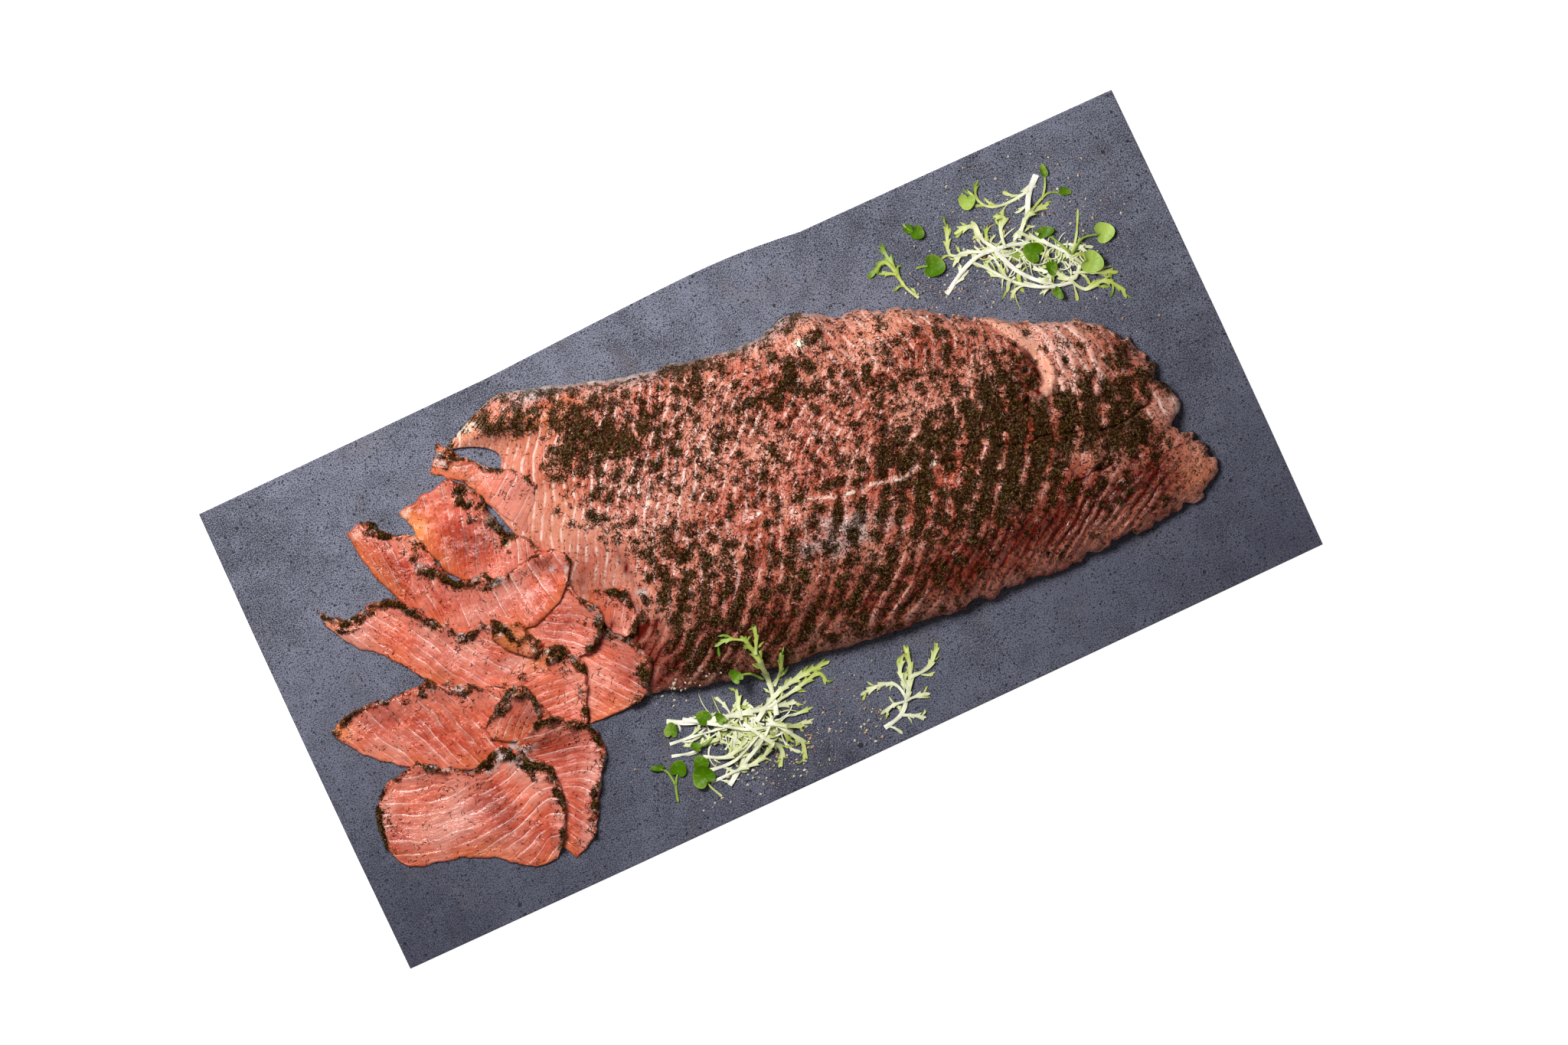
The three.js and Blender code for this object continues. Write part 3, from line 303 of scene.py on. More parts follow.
# Salad: endive strips as route from root to tip, width, tip width, teeth, and greenness at root and tip
SALAD_BACK = [
    ([(159, 80), (179, 91), (197, 92), (217, 87)], 3.4, 2.6, 0, (0.0, 0.2)),
    ([(237, 122), (228, 113), (220, 100), (208, 92)], 4.6, 2.4, 0, (0.0, 0.2)),
    ([(229, 115), (212, 114), (202, 118), (196, 131)], 2.4, 1.6, 0, (0.2, 0.7)),
    ([(196, 91), (201, 78), (208, 68), (216, 60)], 3.8, 2.6, 0, (0.0, 0.15)),
    ([(229, 55), (214, 59), (200, 68), (190, 80), (182, 90)], 2.8, 1.8, 0, (0.05, 0.3)),
    ([(198, 90), (192, 100), (190, 110), (178, 111)], 3.0, 1.2, 1, (0.15, 0.55)),
    ([(192, 92), (178, 98), (169, 93)], 2.6, 1.0, 1, (0.1, 0.45)),
    ([(180, 96), (171, 100), (172, 107), (177, 118)], 2.0, 0.8, 1, (0.3, 0.7)),
    ([(202, 90), (204, 101), (209, 107), (203, 110)], 2.6, 1.0, 1, (0.25, 0.6)),
    ([(212, 92), (222, 102), (237, 103)], 3.0, 1.2, 1, (0.2, 0.6)),
    ([(200, 72), (195, 70), (192, 66)], 2.2, 0.9, 1, (0.3, 0.6)),
    ([(236, 70), (244, 80), (251, 93)], 1.8, 1.6, 0, (0.4, 0.75)),
    ([(236, 70), (246, 76), (256, 74)], 2.0, 1.6, 0, (0.4, 0.7)),
    ([(238, 62), (232, 57), (226, 60), (222, 68)], 3.4, 1.4, 1, (0.2, 0.5)),
    ([(228, 58), (235, 48), (247, 48), (254, 40), (255, 33)], 2.8, 1.1, 1, (0.3, 0.8)),
    ([(232, 60), (244, 55), (257, 49)], 2.0, 1.6, 1, (0.3, 0.7)),
    ([(236, 70), (224, 84), (212, 96)], 2.6, 1.0, 1, (0.1, 0.4)),
    ([(226, 104), (238, 109), (246, 106)], 1.8, 1.4, 0, (0.6, 0.9)),
    ([(234, 107), (239, 114), (242, 121)], 1.5, 1.3, 0, (0.6, 0.9)),
]
SALAD_FRONT = [
    ([(-99, -80), (-85, -87), (-62, -93), (-40, -98), (-24, -102)], 4.0, 1.6, 1, (0.0, 0.35)),
    ([(-90, -83), (-74, -93), (-58, -104), (-40, -110)], 3.6, 1.4, 0, (0.0, 0.3)),
    ([(-81, -130), (-68, -122), (-52, -114), (-40, -104)], 3.6, 1.4, 0, (0.0, 0.3)),
    ([(-105, -100), (-92, -103), (-78, -100)], 2.4, 1.0, 0, (0.1, 0.2)),
    ([(-103, -93), (-86, -95), (-68, -98)], 2.4, 1.0, 0, (0.1, 0.2)),
    ([(-38, -104), (-34, -86), (-34, -66), (-37, -52)], 4.0, 1.6, 1, (0.1, 0.85)),
    ([(-34, -66), (-30, -58), (-27, -49)], 2.4, 1.0, 1, (0.5, 0.85)),
    ([(-37, -55), (-45, -51), (-54, -51)], 2.0, 0.8, 1, (0.6, 0.9)),
    ([(-50, -102), (-34, -93), (-16, -89), (4, -88)], 3.6, 1.4, 1, (0.1, 0.7)),
    ([(-42, -98), (-22, -95), (-5, -92), (-4, -100)], 2.4, 1.0, 1, (0.2, 0.75)),
    ([(-32, -88), (-24, -80), (-20, -71)], 2.2, 0.9, 1, (0.4, 0.85)),
    ([(-58, -100), (-50, -114), (-44, -124), (-50, -133)], 3.0, 1.2, 1, (0.05, 0.6)),
    ([(-44, -104), (-36, -116), (-31, -126), (-35, -136)], 3.0, 1.2, 1, (0.1, 0.65)),
    ([(-46, -106), (-36, -112), (-25, -117)], 2.6, 1.0, 1, (0.2, 0.6)),
    ([(-89, -117), (-72, -118), (-52, -110)], 3.0, 1.2, 0, (0.05, 0.3)),
    ([(-88, -108), (-75, -114), (-60, -110)], 2.8, 1.1, 1, (0.2, 0.4)),
    ([(-90, -124), (-74, -124), (-58, -124), (-46, -118)], 2.4, 1.0, 1, (0.1, 0.5)),
    ([(-88, -134), (-92, -124), (-90, -114)], 1.8, 0.7, 0, (0.5, 0.8)),
    ([(-58, -98), (-56, -88), (-53, -80)], 2.6, 1.0, 1, (0.2, 0.6)),
]
SPRIG_BACK = [
    ([(143, 85), (138, 96), (137, 110), (135, 123)], 2.2, 0.9, 1, (0.45, 0.95)),
    ([(137, 105), (133, 113), (122, 108)], 3.2, 1.3, 1, (0.6, 0.95)),
    ([(137, 103), (132, 106), (127, 108)], 2.4, 1.0, 1, (0.6, 0.9)),
]
SPRIG_FRONT = [
    ([(17, -138), (29, -135), (39, -124), (46, -111), (48, -98)], 3.6, 1.4, 1, (0.05, 0.65)),
    ([(29, -135), (36, -139), (42, -143)], 2.6, 1.0, 1, (0.15, 0.35)),
    ([(35, -129), (27, -128), (18, -130)], 2.0, 0.8, 1, (0.15, 0.4)),
    ([(36, -128), (34, -118), (26, -114), (12, -114)], 2.4, 1.0, 1, (0.15, 0.45)),
    ([(35, -129), (44, -129), (50, -131)], 2.0, 0.8, 1, (0.15, 0.4)),
    ([(39, -124), (39, -112), (45, -103)], 2.4, 1.0, 1, (0.2, 0.6)),
    ([(43, -117), (56, -116), (67, -105)], 3.0, 1.2, 1, (0.2, 0.65)),
]

# Cores under the heaps: centre, radii and turn, their low form, and how many strands are added over them
CORES_BACK = [((205, 84), (22, 11), -0.5), ((230, 71), (13, 11), 0.0)]
CORES_FRONT = [((-60, -104), (30, 13), -0.25)]
CORE_HEIGHT = 1.0
CORE_SHARE = 0.3
CORE_GREEN = 0.9
STRANDS_BACK = 70
STRANDS_FRONT = 84

# Strips: their share of the given widths, step, rounds of bridging, how far they sink into the heap, a
# strand's tip width, how far apart shoots leave them and how far out these reach, and the angle of a sharp edge
STRIP_SHARE = 0.8
STRIP_CELL = 0.55
STRIP_ROUNDS = 60
HEAP_SINK = 0.7
STRAND_TIP = 0.4
SHOOT_SPACING = 7.0
SALAD_REACH = (297, 147)
SALAD_CREASE = 60

# Cress: leaves as centre, radius, slimness, direction of the stem and paleness, and stems as routes
CRESS_BACK = [
    ((193, 125), 5.0, 1.0, 1.0, 0.75), ((216, 81), 6.0, 1.0, -0.8, 0.1), ((227, 89), 5.6, 0.6, 3.0, 0.15),
    ((222, 68), 4.6, 0.7, 1.3, 0.1), ((219, 53), 4.4, 0.6, 1.8, 0.2), ((245, 61), 6.8, 1.0, 2.4, 0.7),
    ((259, 74), 6.2, 1.0, 3.1, 0.8), ((242, 122), 4.2, 0.5, -1.7, 0.3), ((248, 106), 4.0, 0.6, 2.6, 0.1),
]
CRESS_FRONT = [
    ((-78, -87), 4.4, 1.0, -1.0, 0.15), ((-69, -92), 4.0, 0.7, -1.3, 0.25), ((-50, -73), 4.8, 0.7, -1.2, 0.2),
    ((-99, -86), 4.8, 0.8, -2.0, 0.3), ((-89, -101), 3.6, 0.7, -0.7, 0.2), ((-91, -111), 4.6, 1.0, -1.6, 0.1),
    ((-93, -119), 6.8, 1.0, -1.3, 0.1),
]
CRESS_LOOSE = {
    "cress_pair_back": (
        [((154.5, 124.5), 2.7, 1.0, 2.0, 0.0), ((158.5, 120.5), 4.2, 1.0, 2.3, 0.05)],
        [[(153, 129), (154.5, 124.5), (158.5, 120.5)]],
    ),
    "cress_leaf_back": (
        [((159, 98.5), 6.6, 1.0, 2.7, 0.12)],
        [[(148.5, 101.5), (153, 100.8), (159, 98.5)]],
    ),
    "cress_sprig_front": (
        [((-104.5, -108.5), 5.0, 1.0, -2.2, 0.0), ((-115, -103), 4.6, 0.4, -0.4, 0.1)],
        [[(-113, -127), (-110, -117), (-104.5, -108.5)], [(-110, -117), (-111, -108), (-115, -103)]],
    ),
}
STEMS_BACK = [[(236, 70), (232, 80), (227, 89)], [(236, 70), (246, 76), (256, 74)]]
STEMS_FRONT = [[(-36, -82), (-42, -75), (-50, -73)], [(-78, -100), (-84, -102), (-89, -101)]]

# Leaves and stems: thickness, sides of a stem, its rounds of bridging and its paleness
LEAF_THICKNESS = 0.42
STEM_SIDES = 8
STEM_ROUNDS = 40
STEM_PALE = 0.55

# Where crumbs lie: centre, spread along x and y, and their number
CRUMB_SPOTS = [
    (-40, -132, 24, 10, 240), (210, 100, 32, 24, 320), (12, -118, 8, 14, 60), (-84, -66, 12, 4, 50),
    (-70, -120, 26, 14, 120), (240, 70, 18, 24, 120), (165, 82, 18, 9, 120), (-10, -125, 30, 14, 60),
]

# Crumbs: how far out they lie, the share of each tone, the angle of a sharp edge, and an eight-faced lump
CRUMB_REACH = (294, 144)
CRUMB_TONES = {"cream": 0.66, "tan": 0.26, "rust": 0.08}
CRUMB_CREASE = 20
CRUMB_CORNERS = np.array([[1, 0, 0], [-1, 0, 0], [0, 1, 0], [0, -1, 0], [0, 0, 1], [0, 0, -0.6]])
CRUMB_FACES = np.array([
    [0, 2, 4], [2, 1, 4], [1, 3, 4], [3, 0, 4], [2, 0, 5], [1, 2, 5], [3, 1, 5], [0, 3, 5],
])

# The stage in metres, with the sensor's width in millimetres: the floor, the lamp, and what the camera sees
FLOOR_HALF = 4.0
FLOOR_DROP = 0.0005
LAMP_PLACE = (-0.22, 0.52, 0.93)
LAMP_SIZE = 0.42
SENSOR_WIDTH = 36.0
SEEN_WIDTH = 0.9314
SEEN_DEPTH = 50.0
CAMERA_PLACE = (0.01415, -0.00469)


def linear(red, green, blue):
    """A screen colour from 0 to 255 as amounts of light from 0 to 1."""
    screen = np.array([red, green, blue]) / 255
    light = np.where(screen <= 0.04045, screen / 12.92, ((screen + 0.055) / 1.055) ** 2.4)
    return tuple(float(amount) for amount in light)


def smooth(low, high, x):
    """0 below low, 1 above high, and between them three times the square less twice the cube of the share."""
    share = np.clip((x - low) / (high - low), 0, 1)
    return share * share * (3 - 2 * share)


def unit(vectors):
    """Vectors of length 1 in the given directions: each is divided by its length."""
    return vectors / np.maximum(np.linalg.norm(vectors, axis=-1, keepdims=True), 1e-6)


def through(knots):
    """A smooth curve of one number over another: a cubic between two knots, whose slope at a knot is the mean
    of the straight slopes on its two sides. It is level beyond its ends."""
    places, values = np.array(knots, float).T
    straight = np.diff(values) / np.diff(places)
    slopes = np.concatenate([straight[:1], (straight[:-1] + straight[1:]) / 2, straight[-1:]])

    def curve(place):
        inside = np.clip(place, places[0], places[-1])
        k = np.clip(np.searchsorted(places, inside, side="right") - 1, 0, len(places) - 2)
        step = places[k + 1] - places[k]
        p = (inside - places[k]) / step
        start = (1 + 2 * p) * values[k] + p * step * slopes[k]
        end = (3 - 2 * p) * values[k + 1] - (1 - p) * step * slopes[k + 1]
        return (1 - p) ** 2 * start + p ** 2 * end

    return curve


def spline(points, count):
    """Points at even lengths on a smooth line through the given ones: cubics whose slope at a point is half
    the way from the point before to the point after."""
    knots = np.array(points, float)
    slopes = (np.concatenate([knots[1:], knots[-1:]]) - np.concatenate([knots[:1], knots[:-1]])) / 2
    p = np.linspace(0, 1, 40, endpoint=False)[None, :, None]
    start = (1 + 2 * p) * knots[:-1, None] + p * slopes[:-1, None]
    end = (3 - 2 * p) * knots[1:, None] - (1 - p) * slopes[1:, None]
    line = np.concatenate([((1 - p) ** 2 * start + p ** 2 * end).reshape(-1, 2), knots[-1:]])
    run = np.concatenate([[0], np.cumsum(np.linalg.norm(np.diff(line, axis=0), axis=1))])
    wanted = np.linspace(0, run[-1], count)
    return np.stack([np.interp(wanted, run, line[:, k]) for k in (0, 1)], -1), run[-1]


def noise(x, y, size, seed):
    """Soft hills from -1 to 1, about as wide as size: random heights on a square lattice, blended between
    the four places around by an S-shaped share."""
    count = 256
    heights = np.random.default_rng(seed).uniform(-1, 1, (count, count))
    i, j = np.floor(x / size).astype(int), np.floor(y / size).astype(int)
    a, b = smooth(0, 1, x / size - i), smooth(0, 1, y / size - j)
    i, j, k, m = i % count, j % count, (i + 1) % count, (j + 1) % count
    near = heights[i, j] * (1 - a) + heights[k, j] * a
    far = heights[i, m] * (1 - a) + heights[k, m] * a
    return near * (1 - b) + far * b


def spots(x, y, places):
    """The sum of round soft spots: strength times e to the minus square of the distance in half widths."""
    total = np.zeros_like(x)
    for px, py, half_x, half_y, strength in places:
        total += strength * np.exp(-((x - px) / half_x) ** 2 - ((y - py) / half_y) ** 2)
    return total


def line_distance(x, y, points):
    """The distance to the nearest point of a broken line: on each stretch the share of the way to that point
    is kept within 0 to 1."""
    best = np.full_like(x, np.inf)
    for (ax, ay), (bx, by) in zip(points[:-1], points[1:]):
        dx, dy = bx - ax, by - ay
        share = np.clip(((x - ax) * dx + (y - ay) * dy) / (dx * dx + dy * dy), 0, 1)
        best = np.minimum(best, np.hypot(x - ax - share * dx, y - ay - share * dy))
    return best


class Raster:
    """Numbers on a square grid over a box, read between its places in proportion to nearness."""

    def __init__(self, box, cell, value=0.0):
        self.low = np.array(box[:2], float)
        self.cell = cell
        counts = np.ceil((np.array(box[2:], float) - self.low) / cell).astype(int) + 1
        self.values = np.full(tuple(counts), float(value))

    def places(self):
        lines = [low + self.cell * np.arange(count) for low, count in zip(self.low, self.values.shape)]
        return np.meshgrid(*lines, indexing="ij")

    def cell_of(self, x, y):
        columns, rows = self.values.shape
        across = np.clip((x - self.low[0]) / self.cell, 0, columns - 1.001)
        up = np.clip((y - self.low[1]) / self.cell, 0, rows - 1.001)
        i, j = across.astype(int), up.astype(int)
        return i, j, across - i, up - j

    def at(self, x, y):
        i, j, a, b = self.cell_of(x, y)
        near = self.values[i, j] * (1 - a) + self.values[i + 1, j] * a
        far = self.values[i, j + 1] * (1 - a) + self.values[i + 1, j + 1] * a
        return near * (1 - b) + far * b

    def cover(self, x, y, z):
        """Raises the four places round each point to its height."""
        i, j, _, _ = self.cell_of(x, y)
        for p, q in ((0, 0), (1, 0), (0, 1), (1, 1)):
            np.maximum.at(self.values, (i + p, j + q), z)


def fit_slopes(slope_x, slope_y, cell):
    """The heights on a grid whose slopes come nearest to the given ones by least squares: a Poisson equation
    with free edges, solved by a Fourier transform of the grid mirrored at its edges."""
    between_x = np.pad((slope_x[:-1] + slope_x[1:]) / 2, ((1, 1), (0, 0)))
    between_y = np.pad((slope_y[:, :-1] + slope_y[:, 1:]) / 2, ((0, 0), (1, 1)))
    spread = -(np.diff(between_x, axis=0) + np.diff(between_y, axis=1)) / cell
    whole = np.block([[spread, spread[:, ::-1]], [spread[::-1], spread[::-1, ::-1]]])
    bend_x, bend_y = (2 - 2 * np.cos(2 * np.pi * np.fft.fftfreq(n)) for n in whole.shape)
    power = (bend_x[:, None] + bend_y) / cell ** 2
    power[0, 0] = 1
    columns, rows = slope_x.shape
    return np.fft.ifft2(np.fft.fft2(whole) / power).real[:columns, :rows]


class Lines:
    """Evenly spaced lines along given strokes.

    The angle at a place is the strokes' mean, each weighted by one over the cube of its distance. The phase
    grows by one from each line to the next, and the run grows by one with each millimetre along a line.
    """

    def __init__(self, strokes, spacing, box, cell=2.0):
        self.angle, self.phase, self.run = (Raster(box, cell) for _ in range(3))
        x, y = self.angle.places()
        sx, sy, turn = np.array(strokes, float).T
        weight = ((x[..., None] - sx) ** 2 + (y[..., None] - sy) ** 2 + 25) ** -1.5
        angle = np.radians((weight * turn).sum(-1) / weight.sum(-1))
        self.angle.values = angle
        self.phase.values = fit_slopes(-np.sin(angle) / spacing, np.cos(angle) / spacing, cell)
        self.run.values = fit_slopes(np.cos(angle), np.sin(angle), cell)


def grid_faces(columns, rows):
    """The squares of a grid of points that is numbered column by column."""
    n = np.arange(columns * rows).reshape(columns, rows)
    return np.stack([n[:-1, :-1], n[1:, :-1], n[1:, 1:], n[:-1, 1:]], -1).reshape(-1, 4)


def grid_border(columns, rows):
    """The numbers of the points round a grid's border, in order."""
    n = np.arange(columns * rows).reshape(columns, rows)
    return np.concatenate([n[:-1, 0], n[-1, :-1], n[:0:-1, -1], n[0, :0:-1]])


def faces_up(x, y):
    """Whether a grid of places turns anticlockwise seen from above, by its signed area."""
    along_x, along_y = (part[1:, :-1] - part[:-1, :-1] for part in (x, y))
    across_x, across_y = (part[:-1, 1:] - part[:-1, :-1] for part in (x, y))
    return (along_x * across_y - along_y * across_x).sum() > 0


def sheet(x, y, top, under):
    """A closed sheet: two grids of points over the same places, joined by a band round their border."""
    columns, rows = x.shape
    size = columns * rows
    upper = grid_faces(columns, rows)
    border = grid_border(columns, rows)
    after = np.roll(border, -1)
    band = np.stack([after, border, border + size, after + size], -1)
    faces = np.concatenate([upper, upper[:, ::-1] + size, band])
    points = np.concatenate([np.stack([x, y, z], -1).reshape(-1, 3) for z in (top, under)])
    return points, faces if faces_up(x, y) else faces[:, ::-1]


def mound(top, floor):
    """A closed mound: a grid of points for its top, an upright band down to the floor and one flat face."""
    columns, rows, _ = top.shape
    size = columns * rows
    border = grid_border(columns, rows)
    after = np.roll(border, -1)
    feet = size + np.arange(len(border))
    band = np.stack([after, border, feet, np.roll(feet, -1)], -1)
    foot = top.reshape(-1, 3)[border].copy()
    foot[:, 2] = floor
    points = np.concatenate([top.reshape(-1, 3), foot])
    return points, [np.concatenate([grid_faces(columns, rows), band]), feet[None, ::-1]]


class Pile:
    """Closed shapes gathered into one mesh, with a number for each of their points."""

    def __init__(self):
        self.points, self.faces, self.notes, self.size = [], [], [], 0

    def add(self, points, faces, note):
        self.points.append(points)
        self.faces.append(faces + self.size)
        self.notes.append(np.broadcast_to(note, len(points)))
        self.size += len(points)

    def whole(self):
        return np.concatenate(self.points), self.faces, np.concatenate(self.notes)


def lay(name, points, faces, material, slot, replaced=None, crease=None, **notes):
    """Makes a piece of points in the slab's frame, moves it into the part's frame and lays it on the slab."""
    groups = faces if isinstance(faces, list) else [faces]
    corners = np.concatenate([group.ravel() for group in groups])
    sides = np.concatenate([np.full(len(group), group.shape[1]) for group in groups])
    mesh = bpy.data.meshes.new(name)
    mesh.vertices.add(len(points))
    mesh.vertices.foreach_set("co", ((points + (0, SHIFT, 0)) * MM).ravel())
    mesh.loops.add(len(corners))
    mesh.loops.foreach_set("vertex_index", corners.astype(np.int32))
    mesh.polygons.add(len(sides))
    mesh.polygons.foreach_set("loop_start", (np.cumsum(sides) - sides).astype(np.int32))
    mesh.update(calc_edges=True)
    if mesh.validate():
        raise RuntimeError(f"{name} has faces that are not sound")
    mesh.polygons.foreach_set("use_smooth", np.ones(len(sides), bool))
    if crease is not None:
        mesh.set_sharp_from_angle(angle=math.radians(crease))
    for key, values in notes.items():
        attribute = mesh.attributes.new(key, "FLOAT", "POINT")
        attribute.data.foreach_set("value", np.broadcast_to(values, len(points)).astype(np.float32))
    mesh.materials.append(material)
    piece = bpy.data.objects.new(name, mesh)
    bpy.context.scene.collection.objects.link(piece)
    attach(piece, "root")
    if replaced:
        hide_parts(replaced)
    return piece


class Shade:
    """An output of a material's nodes. Arithmetic on it adds Math nodes to the material."""

    def __init__(self, tree, socket):
        self.tree, self.socket = tree, socket

    def node(self, kind, settings=None, sockets=None, output=0):
        """A node of a type, with its settings made first, and its sockets set or linked."""
        made = self.tree.nodes.new(kind)
        for key, value in (settings or {}).items():
            if key == "stops":
                for stop, (place, colour) in zip(made.color_ramp.elements, value[:2]):
                    stop.position, stop.color = place, (*colour, 1)
                for place, colour in value[2:]:
                    made.color_ramp.elements.new(place).color = (*colour, 1)
            else:
                setattr(made, key, value)
        self.feed(made, sockets or {})
        return Shade(self.tree, made.outputs[output])

    def feed(self, made, sockets):
        """Links each shade to its socket of a node, and sets the sockets of plain numbers and colours."""
        for key, value in sockets.items():
            socket = made.inputs[key]
            if isinstance(value, Shade):
                self.tree.links.new(value.socket, socket)
            elif socket.type == "RGBA":
                socket.default_value = (*value[:3], 1)
            else:
                socket.default_value = value

    def math(self, operation, *terms):
        return self.node("ShaderNodeMath", {"operation": operation}, dict(enumerate(terms)))

    def __add__(self, other):
        return self.math("ADD", self, other)

    def __sub__(self, other):
        return self.math("SUBTRACT", self, other)

    def __rsub__(self, other):
        return self.math("SUBTRACT", other, self)

    def __mul__(self, other):
        return self.math("MULTIPLY", self, other)

    def __abs__(self):
        return self.math("ABSOLUTE", self)

    __radd__ = __add__
    __rmul__ = __mul__

    def fract(self):
        return self.math("FRACT", self)

    def step(self, low, high):
        """0 below low, 1 above high and an S between them."""
        ends = {"Value": self, "From Min": low, "From Max": high}
        return self.node("ShaderNodeMapRange", {"interpolation_type": "SMOOTHSTEP"}, ends)

    def mix(self, none, full):
        """The colour between two by this share."""
        kind = {"data_type": "RGBA", "clamp_factor": True}
        return self.node("ShaderNodeMix", kind, {0: self, 6: none, 7: full}, 2)

    def noise(self, scale, detail=2.0, roughness=0.5, distortion=0.0):
        """Clouds over the place this stands for, with scale waves to a metre."""
        sockets = {"Vector": self, "Scale": scale, "Detail": detail, "Roughness": roughness,
                   "Distortion": distortion}
        return self.node("ShaderNodeTexNoise", None, sockets)

    def cells(self, scale, output="Distance"):
        """The distance to the nearest of scattered points, or their random colours."""
        return self.node("ShaderNodeTexVoronoi", None, {"Vector": self, "Scale": scale}, output)

    def note(self, name):
        """A number that the mesh carries at each point."""
        return self.node("ShaderNodeAttribute", {"attribute_name": name}, None, "Fac")

    def bump(self, height, distance, strength=1.0):
        sockets = {"Height": height, "Distance": distance, "Strength": strength}
        return self.node("ShaderNodeBump", None, sockets, "Normal")


def material_of(name, paint, *given):
    """A material whose surface sockets are what the function paint makes of the object's own coordinates and
    of what is given."""
    material = bpy.data.materials.new(name)
    material.use_nodes = True
    tree = material.node_tree
    place = Shade(tree, tree.nodes.new("ShaderNodeTexCoord").outputs["Object"])
    place.feed(tree.nodes["Principled BSDF"], paint(place, *given))
    return material


def colour(name, text, *screen):
    """A colour that a user can change, given as it looks on a screen."""
    return FloatVectorProperty(
        name=name, description=text, subtype="COLOR", size=3, min=0, max=1, default=linear(*screen)
    )


def length(name, text, millimetres):
    """A length that a user can change."""
    return FloatProperty(
        name=name, description=text, unit="LENGTH", min=0, precision=4, default=millimetres * MM
    )


class StoneLook(PropertyGroup):
    """The slab's stone."""
    light: colour("Light grey", "Light patches of the stone", 134, 136, 154)
    dark: colour("Dark grey", "Dark patches of the stone", 34, 35, 47)
    # Front grey is painted shade: the stone darkens towards its front, away from the lamp, and most at the
    # front corners.
    shade: colour("Front grey", "Darker stone towards the front", 43, 43, 64)
    pit: colour("Pits", "Small open pits", 20, 20, 28)
    rust: colour("Smudges", "Faint brown smudges", 96, 84, 78)
    fleck: colour("Flecks", "Light grains", 168, 170, 182)
    pit_size: length("Pit size", "Radius of a large pit", 1.2)


class FleshLook(PropertyGroup):
    """The salmon's flesh, on the side and on the slices."""
    side_flesh: colour("Side flesh", "Flesh of the side", 222, 146, 120)
    side_dark: colour("Side dark", "Darker flesh of the side", 182, 78, 52)
    slice_flesh: colour("Slice flesh", "Flesh of the slices", 230, 116, 86)
    slice_dark: colour("Slice dark", "Darker flesh of the slices", 178, 56, 34)
    # This pale pink is the flesh's own colour, and also painted sheen on some slices and painted glints on the
    # belly's ridges.
    blush: colour("Blush", "Pale pink flesh", 246, 190, 174)
    fat: colour("Fat lines", "Pale lines between the flakes", 252, 214, 200)
    orange: colour("Bare orange", "Bare orange flesh at the tips", 236, 136, 76)
    cream: colour("Cream", "Cream fat at rims and tips", 244, 218, 194)
    # Deep red is the flesh's own dark red and also painted shade in folds, cracks, overlaps and along the
    # belly.
    deep: colour("Deep red", "Deep red in folds and along the belly", 96, 13, 2)
    silver: colour("Silver", "Grey skin and cured patches", 192, 174, 168)
    mat: colour("Cure", "Dark cure soaked into the surface", 38, 20, 3)
    mat_light: colour("Light cure", "Lighter grains in the cure", 84, 58, 22)
    spacing: length("Flake spacing", "Distance between flakes on the side", 5.8)
    groove: length("Groove depth", "Depth of the grooves between flakes", 0.7)
    seed: IntProperty(name="Seed", description="Draws other tufts of dill on the side", default=3, min=0)


class DillLook(PropertyGroup):
    """Chopped dill on the salmon."""
    # The tones are the dill's own colours; as the lighter ones lie higher, the darkest also stands for painted
    # shade low in a clump and the grey for painted highlights on top.
    black: colour("Black dill", "Soaked dill", 23, 11, 1)
    dark: colour("Dark dill", "Dark green dill", 35, 25, 4)
    brown: colour("Brown dill", "Dill browned by the cure", 62, 22, 2)
    olive: colour("Olive dill", "Lighter green dill", 84, 61, 12)
    grey: colour("Grey dill", "Grey-green dill", 134, 118, 76)
    long: length("Longest", "Length of the longest bits", 4.3)
    short: length("Shortest", "Length of the shortest bits", 0.9)
    thick: length("Thickness", "Thickness of a bit", 0.3)
    seed: IntProperty(name="Seed", description="Draws another strewing", default=21, min=0)


class SaladLook(PropertyGroup):
    """Curly endive and cress."""
    rib: colour("Ribs", "White ribs of the endive", 246, 244, 226)
    heart: colour("Hearts", "Yellow leaf of the endive", 236, 238, 200)
    leaf: colour("Leaf", "Light green of the endive", 192, 204, 96)
    tip: colour("Tips", "Green tips of the endive", 108, 142, 30)
    cress: colour("Cress", "Upper side of the cress", 72, 114, 0)
    cress_pale: colour("Cress underside", "Pale underside of the cress", 174, 198, 92)
    seed: IntProperty(name="Seed", description="Draws other strands", default=5, min=0)


class CrumbLook(PropertyGroup):
    """Crumbs of the cure round the salad."""
    cream: colour("Cream", "Pale crumbs", 236, 222, 200)
    tan: colour("Tan", "Tan crumbs", 206, 168, 130)
    rust: colour("Rust", "Red-brown crumbs", 156, 88, 54)
    small: length("Smallest", "Radius of the smallest crumbs", 0.3)
    large: length("Largest", "Radius of the largest crumbs", 1.15)
    seed: IntProperty(name="Seed", description="Draws another strewing", default=9, min=0)


class StageLook(PropertyGroup):
    """Floor, light and camera."""
    floor: colour("Floor", "Pale floor", 244, 244, 244)
    key: FloatProperty(name="Main light", description="Power of the main light", unit="POWER", default=14.2)
    fill: FloatProperty(name="Fill", description="Strength of the light from all round", default=0.16)
    glow: FloatProperty(name="Floor glow", description="Light of the floor itself", default=1.0)
    tilt: FloatProperty(
        name="Turn", description="Turn of the slab in the view", subtype="ANGLE", default=math.radians(24.95)
    )
    height: FloatProperty(
        name="Camera height", description="Height over the slab", unit="LENGTH", default=4.8
    )


